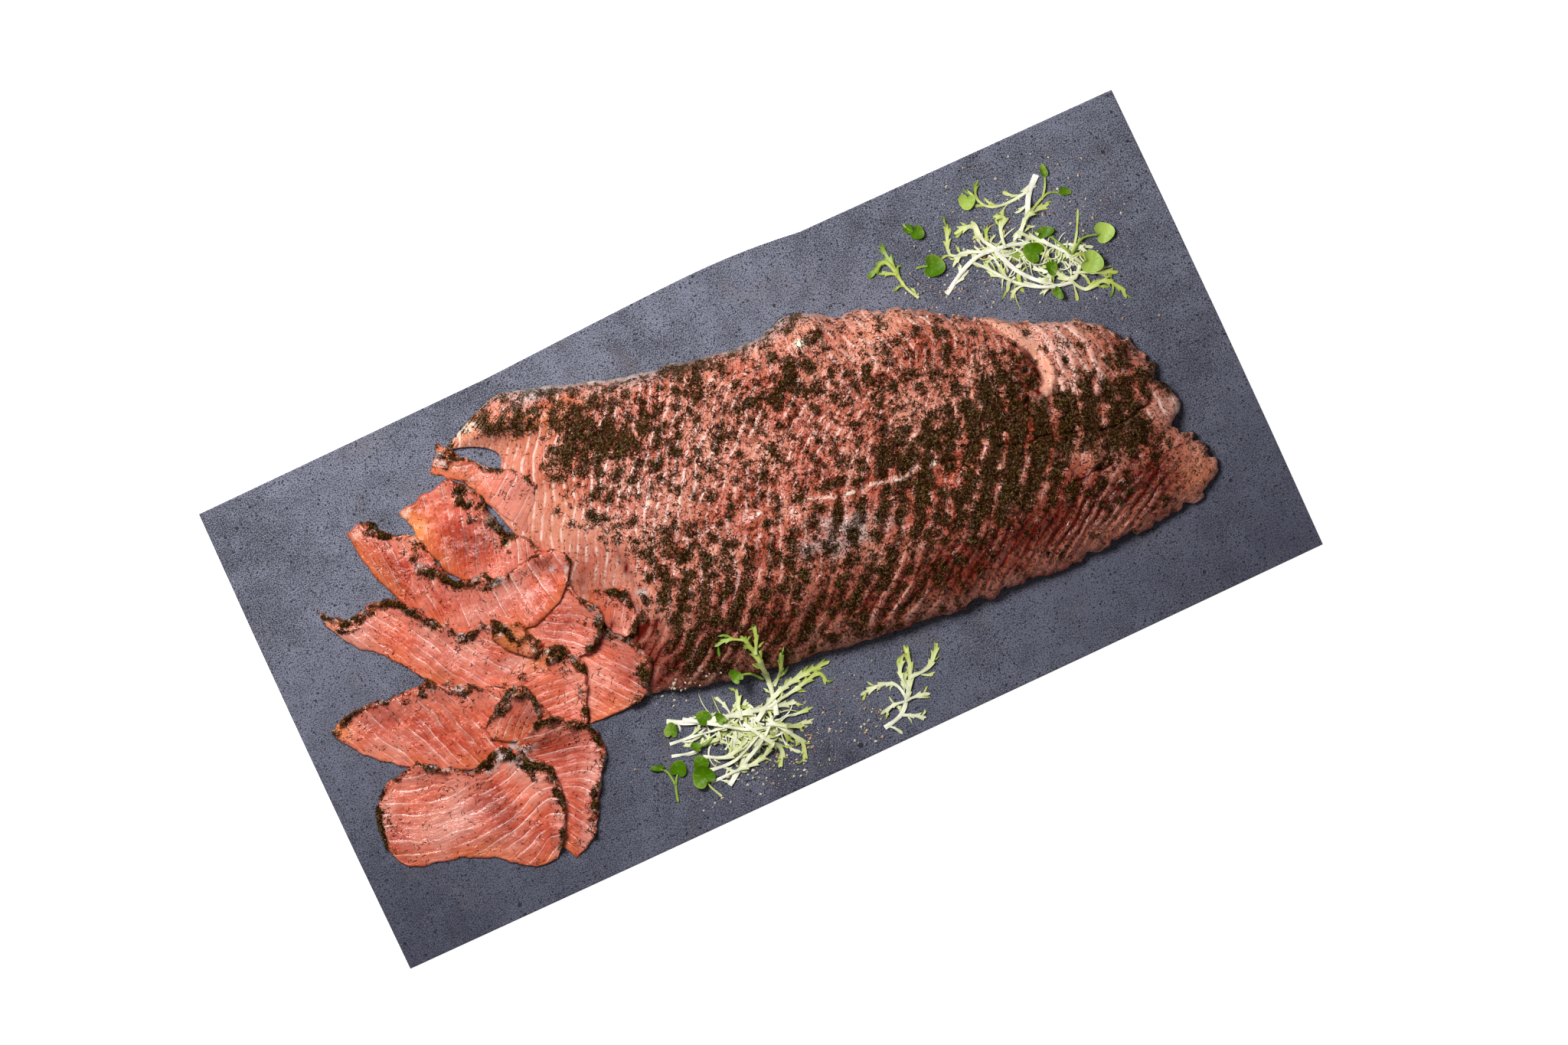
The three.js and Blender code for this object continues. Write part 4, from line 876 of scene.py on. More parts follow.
back_edge = through(BACK_KNOTS)
belly_edge = through(BELLY_KNOTS)
cut_end = through(CUT_KNOTS)
tail_end = through(TAIL_KNOTS)
side_thickness = through(THICKNESS_KNOTS)
cut_run = through(CUT_RUN_KNOTS)

# Heights of what is laid so far, and the points on which dill is strewn
ground = Raster(GROUND_BOX, GROUND_CELL, SLAB_TOP)
strewn = []


def rounded(share):
    """A quarter round: 0 at an edge, 1 at one roll's width inside it."""
    return np.sqrt(1 - (1 - np.clip(share, 0, 1)) ** 2)


def side_plan(u, v):
    """A place in the side's plan: opposite edges blended by the share between them, both blends added, less
    the blend of the four corners. u runs from cut to tail and v from belly to back."""
    def blend(low, high, share):
        return low + (high - low) * share

    belly_x = blend(CORNERS[0, 0, 0], CORNERS[1, 0, 0], u)
    back_x = blend(CORNERS[0, 1, 0], CORNERS[1, 1, 0], u)
    cut_y = blend(CORNERS[0, 0, 1], CORNERS[0, 1, 1], v)
    tail_y = blend(CORNERS[1, 0, 1], CORNERS[1, 1, 1], v)
    belly, back = (belly_x, belly_edge(belly_x)), (back_x, back_edge(back_x))
    cut, tail = (cut_end(cut_y), cut_y), (tail_end(tail_y), tail_y)
    return [
        blend(belly[k], back[k], v) + blend(cut[k], tail[k], u) - blend(
            blend(CORNERS[0, 0, k], CORNERS[1, 0, k], u), blend(CORNERS[0, 1, k], CORNERS[1, 1, k], u), v
        )
        for k in (0, 1)
    ]


def fold_place(x, y):
    """Distance from the fold's arc in its widths, and the angle along it in its spreads."""
    away_x, away_y = x - FOLD_CENTRE[0], y - FOLD_CENTRE[1]
    across = (np.hypot(away_x, away_y) - FOLD_RADIUS) / FOLD_WIDTH
    return across, np.arctan2(away_y, away_x) / FOLD_SPREAD


def side_top(x, y):
    """The side's height: its rim, and a body that is the product of three quarter rounds, at belly, back and
    tail, and a quarter sine up the cut, with slow waves and one arc-shaped fold near the tail."""
    body = rounded((y - belly_edge(x)) / BELLY_ROLL) * rounded((back_edge(x) - y) / BACK_ROLL)
    body = body * rounded((tail_end(y) - x) / TAIL_ROLL)
    body = body * np.sin(np.clip((x - cut_end(y)) / cut_run(y), 0, 1) * np.pi / 2)
    wave = WAVE_HEIGHT * np.sin(x / WAVE_ALONG) * np.cos(y / WAVE_ACROSS)
    across, along = fold_place(x, y)
    fold = FOLD_DEPTH * np.exp(-across ** 2 - along ** 4)
    return SLAB_TOP + SIDE_RIM + body * (side_thickness(x) - SIDE_RIM + wave - fold)


def tuft_places():
    """The places and sizes of the dill tufts: x, y, radius, height, slimness and turn, from the same seeded
    draws as the solid's tufts."""
    state = TUFT_SEED
    places = []

    def draw():
        nonlocal state
        state = (state * DRAW_FACTOR + DRAW_STEP) % DRAW_RANGE
        return state / DRAW_RANGE

    def has_room(x, y):
        away = (x - cut_end(y), tail_end(y) - x, back_edge(x) - y, y - belly_edge(x))
        clear = all(distance > least for distance, least in zip(away, TUFT_ROOM))
        return clear and all(math.dist((x, y), place) > TUFT_GAP for place in places)

    while len(places) < TUFT_COUNT:
        u = draw()
        x, y = (float(value) for value in side_plan(u, draw()))
        if has_room(x, y):
            places.append((x, y))
    return [
        (*place, 5 + 5 * draw() ** 2, 1.3 + 0.9 * draw(), 0.45 + 0.35 * draw(), draw() * math.pi)
        for place in places
    ]


def tuft_height(x, y):
    """Low domes of dill: each is its height times the root of one less the squared distance from its middle,
    counted in its two radii."""
    total = np.zeros_like(x)
    for px, py, radius, height, slimness, turn in tuft_places():
        away_x, away_y = x - px, y - py
        along = (away_x * math.cos(turn) + away_y * math.sin(turn)) / radius
        across = (away_y * math.cos(turn) - away_x * math.sin(turn)) / (radius * slimness)
        total = np.maximum(total, height * np.sqrt(np.clip(1 - along ** 2 - across ** 2, 0, 1)))
    return total


def belly_zone(x, y):
    """1 along the belly's edge, falling to 0 well inside it."""
    return 1 - smooth(*BELLY_RUN, y - belly_edge(x))


def band_trough(x, y):
    """The bands of the side as waves: about 1 along the troughs where the dill lies and -1 along the ridges,
    stronger and weaker in soft noise, with half the spacing along the belly towards the tail."""
    belly = belly_zone(x, y)
    bands = Lines(BAND_STROKES, BAND_SPACING, SIDE_BOX).phase.at(x, y)
    bands = bands + 0.2 * noise(x, y, 23, 53) + 0.1 * noise(x, y, 8, 54)
    turn = 2 * np.pi * (bands + 0.16 * belly * noise(x, y, 12, 58))
    fine = belly * smooth(40, 120, x)
    return -(np.cos(turn) * (1 - fine) + np.cos(2 * turn) * fine) * (0.8 + 0.5 * noise(x, y, 13, 59))


def fold_ribs(x, y):
    """The bare lip of the fold and the bare ribs beside it, each from 0 to 1: e to the minus a power of the
    distance from its line in half widths."""
    lip = np.exp(-(line_distance(x, y, FOLD_LIP) / LIP_HALF) ** 4)
    near = np.min([line_distance(x, y, points) for points in FOLD_RIBS], axis=0)
    return lip, np.exp(-(near / RIB_HALF) ** 2)


def side_coat(seed):
    """How thickly dill covers the side, from 0 to 1, as a raster.

    The wanted share is a sum of soft spots, more along the coat's border, the back's rim and the troughs, less
    on the belly and next to none on the fold's lip and ribs, the seam and the bare cut. Tufts are drawn at
    random at the rate that covers that share, each spreads as a bell curve, and the cover is one less e to the
    minus their sum.
    """
    coat = Raster(SIDE_BOX, COAT_CELL)
    x, y = coat.places()
    upper, lobe, low = smooth(-12, 22, y), smooth(100, 112, y), smooth(10, -30, y)
    border = np.exp(-(line_distance(x, y, COAT_BORDER) / 6) ** 2)
    wanted = 0.46 - 0.16 * upper + spots(x, y, SIDE_COAT) + 0.2 * border
    wanted = wanted - (0.1 + 0.22 * smooth(60, 120, x)) * belly_zone(x, y)
    wanted = wanted + 0.26 * np.exp(-((back_edge(x) - y) / 9) ** 2) * (1 - smooth(70, 95, x))
    lip, ribs = fold_ribs(x, y)
    seam = np.exp(-(line_distance(x, y, SEAM) / SEAM_BARE) ** 2)
    wanted = wanted * (1 - 0.97 * lip) * (1 - 0.9 * ribs) * (1 - 0.8 * seam)
    wanted = wanted * smooth(26 - 8 * low - 18 * lobe, 50 - 10 * low - 22 * lobe, x - cut_end(y))
    striped = 0.95 - 0.5 * upper * (1 - smooth(180, 200, x))
    wanted = np.clip(wanted * (1 + striped * band_trough(x, y)), 0, 0.96)
    random = np.random.default_rng(seed)
    tufts = np.zeros_like(x)
    for size, part in TUFT_SPREADS:
        rate = -part * np.log(1 - wanted) / (2 * np.pi * size ** 2)
        tall = random.poisson(rate * coat.cell ** 2) * random.uniform(0.5, 1.5, x.shape)
        waves = [np.fft.fftfreq(n, coat.cell) for n in x.shape]
        spread = np.exp(-2 * (np.pi * size) ** 2 * (waves[0][:, None] ** 2 + waves[1] ** 2))
        tufts += 2 * np.pi * (size / coat.cell) ** 2 * np.fft.ifft2(np.fft.fft2(tall) * spread).real
    coat.values = 1 - np.exp(-1.5 * np.maximum(tufts, 0))
    return coat


class SideZones:
    """What lies at each place of the side's plan.

    Distances from its edges are in millimetres, and the others are shares from 0 to 1: bare on the cut face,
    lower towards the belly, belly and tail along those edges, flaps on the thin end of the back, trough and
    ridge in the bands, lip and ribs of the fold, fringe and dots of skin and dill down the back's rim, and the
    bell curve of the distance from each crack and from the seam, both of which noise bends.
    """

    def __init__(self, x, y):
        self.from_belly, self.from_back = y - belly_edge(x), back_edge(x) - y
        self.from_cut, self.from_tail = x - cut_end(y), tail_end(y) - x
        self.bare = 1 - smooth(*BARE_RUN, self.from_cut)
        self.lower = smooth(*LOWER_RUN, y + 0.06 * x)
        self.belly = belly_zone(x, y)
        self.tail = 1 - smooth(*TAIL_RUN, self.from_tail)
        self.flaps = smooth(*FLAP_RUN, x)
        self.trough = band_trough(x, y)
        self.ridge = np.maximum(-self.trough, 0) ** 2
        self.lip, self.ribs = fold_ribs(x, y)
        self.body = side_top(x, y)
        self.down = y - self.body
        skin = 1 - smooth(0.3, 3.6, self.from_back)
        self.fringe = skin * smooth(-0.1, 0.4, noise(x, self.down, 3, 48)) * (1 - smooth(70, 90, x))
        self.dots = (1 - smooth(3, 9, self.from_back)) * smooth(0.15, 0.4, noise(x, self.down, 2.2, 56))
        bent_x, bent_y = x + 1.2 * noise(x, y, 5, 46), y + 1.4 * noise(x, y, 4, 57)
        self.cracks = [
            np.exp(-(line_distance(bent_x, bent_y, points) / half) ** 2) for points, _, half in CRACKS
        ]
        swung = bent_y + 2.2 * noise(x, y, 11, 66)
        seam = np.exp(-(line_distance(bent_x, swung, SEAM) / SEAM_HALF) ** 2)
        self.seam = seam * smooth(-0.4, 0.3, noise(x, y, 9, 50))


def side_relief(x, y, zones, flake, coat, groove):
    """The side's height: the smooth body, the tufts and the fold's lip and ribs, and away from the edges
    flakes, waves and noise. A flake rises a little from one line to the next, with a groove or a ridge along
    the line, the bands make waves, and soft noise is higher under dill. Each crack sinks by its depth times its
    bell curve, and the seam stands up a little."""
    share = flake - np.floor(flake)
    line = np.abs(2 * share - 1)
    calm = 1 - 0.6 * zones.bare
    across, along = np.minimum(zones.from_belly, zones.from_back), np.minimum(zones.from_cut, zones.from_tail)
    rough = 0.35 * noise(x, y, 9, 43) + 0.25 * noise(x, y, 3.4, 44) + 0.5 * coat * (1 + noise(x, y, 1.9, 45))
    waves = (0.15 + 0.45 * zones.lower + 0.15 * zones.belly) * (1 - 0.8 * zones.tail) * zones.trough
    ridges = (0.5 - 0.9 * zones.lower) * line ** 6 - waves
    z = zones.body + tuft_height(x, y) + LIP_HEIGHT * zones.lip + RIB_HEIGHT * zones.ribs
    z += smooth(0, 8, np.minimum(across, along)) * (
        groove * calm * (0.4 * (share - 0.5) + ridges) + calm * rough
    )
    for (_, depth, _), crack in zip(CRACKS, zones.cracks):
        z -= depth * crack
    return z + SEAM_HEIGHT * zones.seam


def torn_rims(x, y, zones):
    """The side's plan with torn rims: noise pushes the edges in and out, fading inwards as e to the minus the
    distance, more so on the flaps and the tail, where notches are cut."""
    notches = smooth(0.2, 0.5, noise(x, y, 5.5, 64)) * np.maximum(zones.tail, zones.flaps)
    torn = 1.4 * noise(x, y, 9, 51) + 0.6 * noise(x, y, 3.1, 52)
    torn = (1 + 0.7 * zones.flaps + 0.6 * zones.tail) * torn - NOTCH_DEPTH * notches
    reach = 3 + 3 * zones.flaps
    y = y + torn * (np.exp(-zones.from_back / reach) - np.exp(-zones.from_belly / 4))
    return x + torn * np.exp(-(tail_end(y) - x) / reach), y


def side_tints(x, y, zones):
    """How strong each tint of the side is at each place: its soft spots, and what the zones add. Fat lines
    fade towards the belly. Deep red lies in a belt along the belly, both as the flesh's colour and as painted
    shade where the belly turns away from the lamp, and in the cracks as painted shade. Pale pink and cream lie
    on the ridges, the seam, the fold's lip and ribs and the thin rims; on the tops of the belly's ridges they
    are painted glints, and on the fold's lip partly a painted highlight. Grey skin lies on the back's rim."""
    flaps, ridge, seam = zones.flaps, zones.ridge, zones.seam
    thin_rim = np.exp(-np.minimum(zones.from_tail, zones.from_back / flaps.clip(0.01)) / 2.5)
    fat = 0.42 + 0.34 * smooth(60, -60, x) * smooth(-20, 30, y) + 0.15 * zones.bare
    fat = fat * (0.1 + 0.9 * smooth(20, 55, zones.from_belly)) + spots(x, y, SIDE_FAT)
    back_rim = np.exp(-zones.from_back / 14) * (1 - flaps) * smooth(20, 50, zones.from_cut)
    # Painted shade in a belt along the belly, which turns away from the lamp, over the flesh's dark red;
    # painted shade in the cracks too.
    belt = np.exp(-((zones.from_belly - 26) / 22) ** 2)
    deep = 0.8 * (1 - 0.85 * zones.tail) * belt * (1 - 0.8 * ridge + 0.2 * flaps)
    deep = deep + 0.05 * zones.lower + 0.03 * zones.tail + 0.9 * np.max(zones.cracks, axis=0)
    chunks = 0.75 + 0.7 * noise(x, y, 2.8, 55)
    edges = np.exp(-zones.from_belly / 2.5) * smooth(0.2, 0.5, noise(x, y, 4, 65))
    pale = spots(x, y, SIDE_PALE) * chunks + 0.6 * zones.fringe * chunks + 0.5 * seam * chunks
    grey = spots(x, y, SIDE_GREY) * (0.7 + 0.5 * noise(x, y, 6, 49))
    # Painted glints in pale pink on the tops of the belly's ridges.
    painted_glints = smooth(0.55, 1.1, ridge) * smooth(-0.1, 0.4, noise(x, y, 4.5, 63))
    blush = 0.1 * zones.bare * smooth(0, 20, zones.from_cut) + spots(x, y, SIDE_BLUSH)
    # Pale pink on the seam and the fold's ribs and lip; on the lip it is partly a painted highlight.
    blush = blush + 1.3 * seam + 1.3 * zones.lip + 0.8 * zones.ribs
    blush = blush + zones.belly * (0.2 * ridge + 0.5 * painted_glints) * (1 - 0.5 * flaps)
    return {
        "fat": fat, "deep": deep + spots(x, y, SIDE_DEEP_SHADE), "warm": spots(x, y, SIDE_WARM) + 0.5 * zones.lip,
        "pale": pale + 0.3 * thin_rim + 0.5 * edges, "grey": grey + 0.9 * zones.fringe + 0.4 * back_rim,
        "blush": blush + 0.5 * thin_rim,
    }


def side_dill(x, zones, coat):
    """Bits of dill to a square millimetre of the side: a power of the cover, single bits everywhere and more
    in the belly's troughs, and some down the back's rim. Few lie on the fold's lip and ribs and the seam."""
    edge = np.exp(-zones.from_back / 7) * (1 - zones.flaps) * smooth(-0.1, 0.5, noise(x, zones.down, 5, 47))
    troughs = zones.belly * (0.15 + 0.75 * np.maximum(zones.trough, 0)) * (1 - 0.8 * zones.flaps)
    single = 0.5 * (1 - 0.8 * zones.bare) + troughs
    rate = SIDE_DILL * coat ** 1.5 + single * (1 - 0.2 * zones.tail) + 1.6 * edge
    return rate * (1 - 0.85 * zones.lip) * (1 - 0.6 * zones.ribs) * (1 - 0.7 * zones.seam)


def side_shape(look):
    """The side's top as a grid of points, and what its flesh is like at each. Dill is strewn at each point at
    the rate there times the area of one step of the grid, the cross product of its two sides."""
    u, v = np.meshgrid(*(np.linspace(0, 1, n) for n in SIDE_GRID), indexing="ij")
    x, y = side_plan(u, v)
    zones = SideZones(x, y)
    lines = Lines(SIDE_STROKES, look.spacing / MM, SIDE_BOX)
    flake = lines.phase.at(x, y) + 0.4 * noise(x, y, 19, 41) + 0.14 * noise(x, y, 6, 42)
    coat = np.maximum(side_coat(look.seed).at(x, y), 0.9 * zones.dots)
    z = side_relief(x, y, zones, flake, coat, look.groove / MM)
    x, y = torn_rims(x, y, zones)
    notes = {"flake": flake, "run": lines.run.at(x, y), "coat": coat, **side_tints(x, y, zones)}
    (along_x, across_x), (along_y, across_y) = np.gradient(x), np.gradient(y)
    area = np.abs(along_x * across_y - across_x * along_y)
    strewn.append((x, y, z, side_dill(x, zones, coat) * area, lines.angle.at(x, y), coat))
    return np.stack([x, y, z], -1), notes


def lift_over(floor, rounds):
    """A soft sheet over a floor: again and again, the mean of its four neighbours, or the floor if higher."""
    height = floor.copy()
    for _ in range(rounds):
        wide = np.pad(height, 1, mode="edge")
        mean = (wide[:-2, 1:-1] + wide[2:, 1:-1] + wide[1:-1, :-2] + wide[1:-1, 2:]) / 4
        height = np.maximum(floor, mean)
    return height


class SlicePlan:
    """A slice from above as a grid of places, with their distances from its edges in millimetres.

    It is blended between its coated and its skin edge. Noise pushes both edges and both ends in and out,
    fading inwards as e to the minus the distance.
    """

    def __init__(self, number, coated, skin):
        self.run = max(spline(coated, 9)[1], spline(skin, 9)[1])
        columns = int(self.run / SLICE_CELL) + 1
        near, far = spline(coated, columns)[0], spline(skin, columns)[0]
        width = np.linalg.norm(near - far, axis=1)[:, None]
        rows = int(width.max() / SLICE_CELL) + 1
        self.share = np.linspace(0, 1, rows)[None]
        self.along = np.linspace(0, self.run, columns)[:, None]
        self.area = (self.run / columns) * (width / rows)
        self.from_coated, self.from_skin = self.share * width, (1 - self.share) * width
        self.from_end = np.minimum(self.along, self.run - self.along)
        self.inside = np.minimum(np.minimum(self.from_coated, self.from_skin), self.from_end)
        share = self.share[..., None]
        plan = near[:, None] * (1 - share) + far[:, None] * share
        x, y = plan[..., 0], plan[..., 1]
        torn = 1.3 * noise(x, y, 7, 60 + number) + 0.7 * noise(x, y, 2.6, 80 + number)
        push = torn * (0.8 * np.exp(-self.from_skin / 3) - 1.4 * np.exp(-self.from_coated / 4))
        across = (far - near) / np.maximum(width, 1)
        forward = unit(np.gradient(plan, axis=0))
        ends = np.exp((self.along - self.run) / 5) - np.exp(-self.along / 5)
        slip = 1.6 * noise(x, y, 6, 220 + number) * ends
        self.x = x + push * across[:, :1] + slip * forward[..., 0]
        self.y = y + push * across[:, 1:] + slip * forward[..., 1]


def slice_crust(plan, number):
    """How thickly the cure covers a slice, from 0 to 1: a band along its coated edge, of uneven breadth, and
    soft patches, both broken by gaps."""
    x, y = plan.x, plan.y
    broad = CRUST_BREADTH + 3.6 * noise(x, y, 11, 180 + number) + 3.0 * noise(x, y, 4.5, 190 + number)
    broad = broad * (0.16 + 0.9 * smooth(-0.45, 0.15, noise(x, y, 13, 170 + number)))
    band = 1 - smooth(0.6, 1.2, plan.from_coated / np.maximum(broad, 0.6))
    patch = spots(x, y, SLICE_COAT) * (0.75 + 0.8 * noise(x, y, 3.2, 217))
    gaps = 0.3 + 0.7 * smooth(-0.5, 0.05, noise(x, y, 3.6, 218))
    return np.maximum(band, smooth(0.2, 0.7, patch)) * gaps


def slice_relief(x, y, flake, crust):
    """How far a slice's top stands out: soft noise, a small rise from one line of its flakes to the next, a
    ridge along the line, and lumps of crust."""
    share = flake - np.floor(flake)
    rough = 0.45 * noise(x, y, 8, 203) + 0.32 * noise(x, y, 3.6, 200) + 0.3 * (share - 0.5)
    rough = rough + crust * (1.0 + 1.2 * noise(x, y, 2.6, 201) + 1.6 * noise(x, y, 5, 202))
    return rough + 0.08 * np.abs(2 * share - 1) ** 8 * (1 - crust)


def slice_tints(plan, number, crust, lumps, merged):
    """How strong each tint of a slice is at each place: its soft spots, of which the dark red ones are painted
    shade where slices overlap, orange near its skin, painted shade along its skin edge, a pale haze beside the
    crust, light and dark clouds, and dark or grey crust in turn by its lumps. Tints of an edge leave out what
    is merged with the side."""
    x, y = plan.x, plan.y
    cloud = noise(x, y, 21, 214 + number) + 0.5 * noise(x, y, 9, 215)
    fat = (1.0 + 0.35 * noise(x, y, 24, 212)) * smooth(0.2, 3, plan.inside)
    skin = np.exp(-(plan.from_skin / 9) ** 2) * (0.6 - 0.5 * cloud) * (1 - merged)
    # Painted shade along the skin edge, with darker clouds.
    edge = 0.3 * (1 - smooth(0.2, 1.4, plan.from_skin)) * (1 - merged) + 0.28 * smooth(0.1, 0.9, -cloud)
    haze = 0.22 * np.exp(-((plan.from_coated - 8) / 7) ** 2) + 0.25 * smooth(0.1, 1, cloud)
    return {
        "fat": fat * (1 - 0.8 * crust) * (1 - 0.5 * plan.share),
        "coat": crust * (0.5 + 0.5 * (1 - lumps)),
        "warm": spots(x, y, SLICE_WARM) + 0.3 * crust + 0.5 * skin,
        "pale": spots(x, y, SLICE_PALE) * (0.6 + 0.6 * lumps),
        "deep": spots(x, y, SLICE_DEEP_SHADE) + edge,
        "grey": (0.7 * crust + spots(x, y, SLICE_GREY)) * lumps,
        "blush": 0.7 * spots(x, y, SLICE_BLUSH_AND_SHEEN) + haze * (1 - merged) + 0.35 * merged,
    }


def slice_dill(plan, crust, lumps):
    """Bits of dill to a square millimetre of a slice: by its crust, fewer on the grey lumps, and in clusters
    that thin out from the coated edge, all more and less in soft noise."""
    clusters = smooth(0.3, 0.7, noise(plan.x, plan.y, 4.2, 216))
    beside = (0.18 + 1.4 * clusters) * np.exp(-plan.from_coated / 8)
    rate = SLICE_DILL * crust * (1 - 0.5 * lumps) + 0.05 + beside
    return rate * (0.35 + 1.2 * smooth(-0.4, 0.6, noise(plan.x, plan.y, 5, 213)))


def slice_shape(number, outline):
    """One slice as a grid of places with its top and its underside, and what its flesh is like at each.

    Its underside lies over what is already there, bridging hollows, with slow waves. Its top is higher by the
    thickness across it, which rounds off at its border, and by the relief.
    """
    coated, skin, strokes, spacing, end_share = outline
    plan = SlicePlan(number, coated, skin)
    x, y = plan.x, plan.y
    lines = Lines(strokes, spacing, (x.min() - 4, y.min() - 4, x.max() + 4, y.max() + 4))
    flake = lines.phase.at(x, y) + 0.3 * noise(x, y, 17, 100 + number) + 0.08 * noise(x, y, 6, 120 + number)
    crust = slice_crust(plan, number)
    lumps = smooth(-0.1, 0.45, noise(x, y, 4.5, 210) + 0.5 * noise(x, y, 2.0, 211))
    merged = smooth(0.35, 0.8, plan.along / plan.run) * (end_share < 1)
    wave = 0.7 * (1 + noise(x, y, 19, 140 + number)) + 0.35 * (1 + noise(x, y, 9, 160 + number))
    under = lift_over(ground.at(x, y), SLICE_ROUNDS) + GAP + 0.4 * wave * smooth(0, 10, plan.from_end)
    thick = through(SLICE_THICKNESS)(plan.share) * (1 + (end_share - 1) * plan.along / plan.run)
    thick = thick * (0.06 + 0.94 * rounded(plan.inside / (0.8 + 0.35 * thick)))
    relief = smooth(0, 2.4, plan.inside) * (1 - 0.8 * merged) * slice_relief(x, y, flake, crust)
    top = under + thick + relief
    tints = slice_tints(plan, number, crust, lumps, merged)
    strewn.append((x, y, top, slice_dill(plan, crust, lumps) * plan.area, lines.angle.at(x, y), crust))
    ground.cover(x, y, top)
    return (x, y, top, under), {"flake": flake, "run": lines.run.at(x, y), **tints}


# Numbers that the meshes of the side and the slices carry at each point
FLESH_NOTES = ("flake", "run", "fat", "coat", "warm", "pale", "deep", "grey", "blush")


def along_flakes(across, along):
    """A place on the flesh by its flake number and its run along the flake, each stretched as given."""
    return across.node("ShaderNodeCombineXYZ", None, {"X": across, "Y": along})


def flesh_paint(place, look, flesh, dark, thin):
    """Cured flesh: two tones in clouds and in streaks and fine threads along the flakes, painted shade on one
    side of each line between flakes and painted light on the other for the relief of the flakes, a pale line
    where the flake number is whole, the thinner the nearer thin is to 1, broken along its run, tints by the
    mesh's notes, and dark cure over what is coated."""
    flake, run, fat, coat, warm, pale, deep, grey, blush = (place.note(name) for name in FLESH_NOTES)
    fine, wander = place.noise(520, 3), place.noise(150, 2)
    fibre = along_flakes(flake * 5, run * 0.13).noise(1.0, 3, 0.6)
    pace = 0.03 + 0.15 * (1 - thin)
    breaks = along_flakes(flake.math("ROUND", flake) * 7.3, run * pace).noise(1.0, 3, 0.6).step(0.42, 0.58)
    share = (flake + (fibre - 0.5) * 0.14).fract()
    line = abs(share * 2 - 1)
    threads = along_flakes(flake * 17, run * 0.2).noise(1.0, 2, 0.6)
    base = (place.noise(32, 3) * 0.45 + fibre * 0.35 + threads * 0.2).step(0.38, 0.62).mix(dark, flesh)
    # Painted shade on one side of each line between flakes, for the relief of the flakes.
    base = ((1 - share).step(0.55, 1.0) * 0.35).mix(base, dark)
    # Pale pink flesh, which also carries painted sheen and painted glints.
    base = (blush * (0.35 + fibre * 0.9)).mix(base, look.blush)
    # Painted light on the other side of each line, for the relief of the flakes.
    base = (share.step(0.3, 1.0) * fat * breaks * 0.3).mix(base, look.blush)
    base = (line.step(thin, 0.98) * fat * (breaks * 0.9 + 0.1)).mix(base, look.fat)
    base = (warm * (0.6 + wander * 0.6)).mix(base, look.orange)
    # Deep red: the flesh's dark red, and painted shade where the notes ask for it.
    base = (deep * (0.5 + wander * 0.5 + line.step(0.4, 1.0) * 0.5)).mix(base, look.deep)
    base = ((grey * (fine * 0.9 + 0.45)).step(0.1, 0.85) * 0.9).mix(base, look.silver)
    base = (pale * (0.5 + wander * 0.9)).step(0.2, 0.75).mix(base, look.cream)
    cover = (coat + (fine - 0.5)).step(0.6, 1.06) * 0.8
    grit = place.noise(1300, 2)
    mat = grit.step(0.35, 0.7).mix(look.mat, look.mat_light)
    height = fine * 0.6 + grit * (0.2 + cover) + fibre * 0.5
    return {
        "Base Color": cover.mix(base, mat), "Roughness": 0.14 + cover * 0.45 + (fine - 0.5) * 0.2,
        "Normal": place.bump(height, 0.001, 0.85), "Subsurface Weight": 0.12, "Subsurface Scale": 0.004,
        "Subsurface Radius": (1.0, 0.36, 0.2), "Specular IOR Level": 0.36,
    }


def stone_pits(place, scale, most, power):
    """1 in round pits and 0 outside: a pit is where the distance to its scattered point is less than a power
    of its random number times the most."""
    chance = place.cells(scale, "Color")
    return 1 - (place.cells(scale) - chance.math("POWER", chance, power) * most).step(-0.02, 0.03)


def stone_paint(place, look):
    """Honed stone: clouds at three sizes between two greys, painted shade that darkens it towards its front,
    away from the lamp, and most at the front corners, brown smudges, light grains and pits of three sizes."""
    cloud, mottle, grain = place.noise(9, 5, 0.6), place.noise(75, 5, 0.75), place.noise(1400, 2, 0.6)
    x, y = (place.node("ShaderNodeSeparateXYZ", None, {"Vector": place}, axis) for axis in "XY")
    # Painted shade: darker towards the front, away from the lamp, and most at the front corners.
    front = (0.11 - y).step(0.0, 0.27) * (0.3 + abs(x).step(0.06, 0.28) * 0.3)
    tone = (cloud - 0.5) * 0.9 + (mottle - 0.5) * 0.8 + (grain - 0.5) * 2.8
    base = tone.step(-0.42, 0.44).mix(look.dark, look.light)
    base = (front + cloud.step(0.5, 0.75) * 0.26).mix(base, look.shade)
    base = (place.noise(24, 4, 0.6, 0.6).step(0.56, 0.76) * 0.3).mix(base, look.rust)
    base = (place.noise(1100, 2).step(0.62, 0.74) * 0.35).mix(base, look.fleck)
    hollow = stone_pits(place, 1 / (6 * look.pit_size), 0.3, 6.0)
    for apart, most, power in ((2.8, 0.24, 1.2), (1.2, mottle * 0.72, 1.0)):
        hollow = hollow.math("MAXIMUM", hollow, stone_pits(place, 1 / (apart * look.pit_size), most, power))
    return {
        "Base Color": (hollow * 0.9).mix(base, look.pit),
        "Roughness": 0.55 + mottle * 0.25, "Specular IOR Level": 0.35,
        "Normal": place.bump(grain * 0.5 + mottle * 0.4 - hollow, 0.0007, 0.7),
    }


def dill_paint(place, tone):
    """Wet chopped herb: one tone, lighter and darker in fine clouds."""
    shade = tuple(0.55 * value for value in tone[:])
    light = tuple(min(1.0, 1.5 * value) for value in tone[:])
    return {
        "Base Color": place.noise(700, 2).step(0.3, 0.7).mix(shade, light),
        "Roughness": 0.25 + place.noise(400, 1) * 0.3, "Specular IOR Level": 0.07,
    }


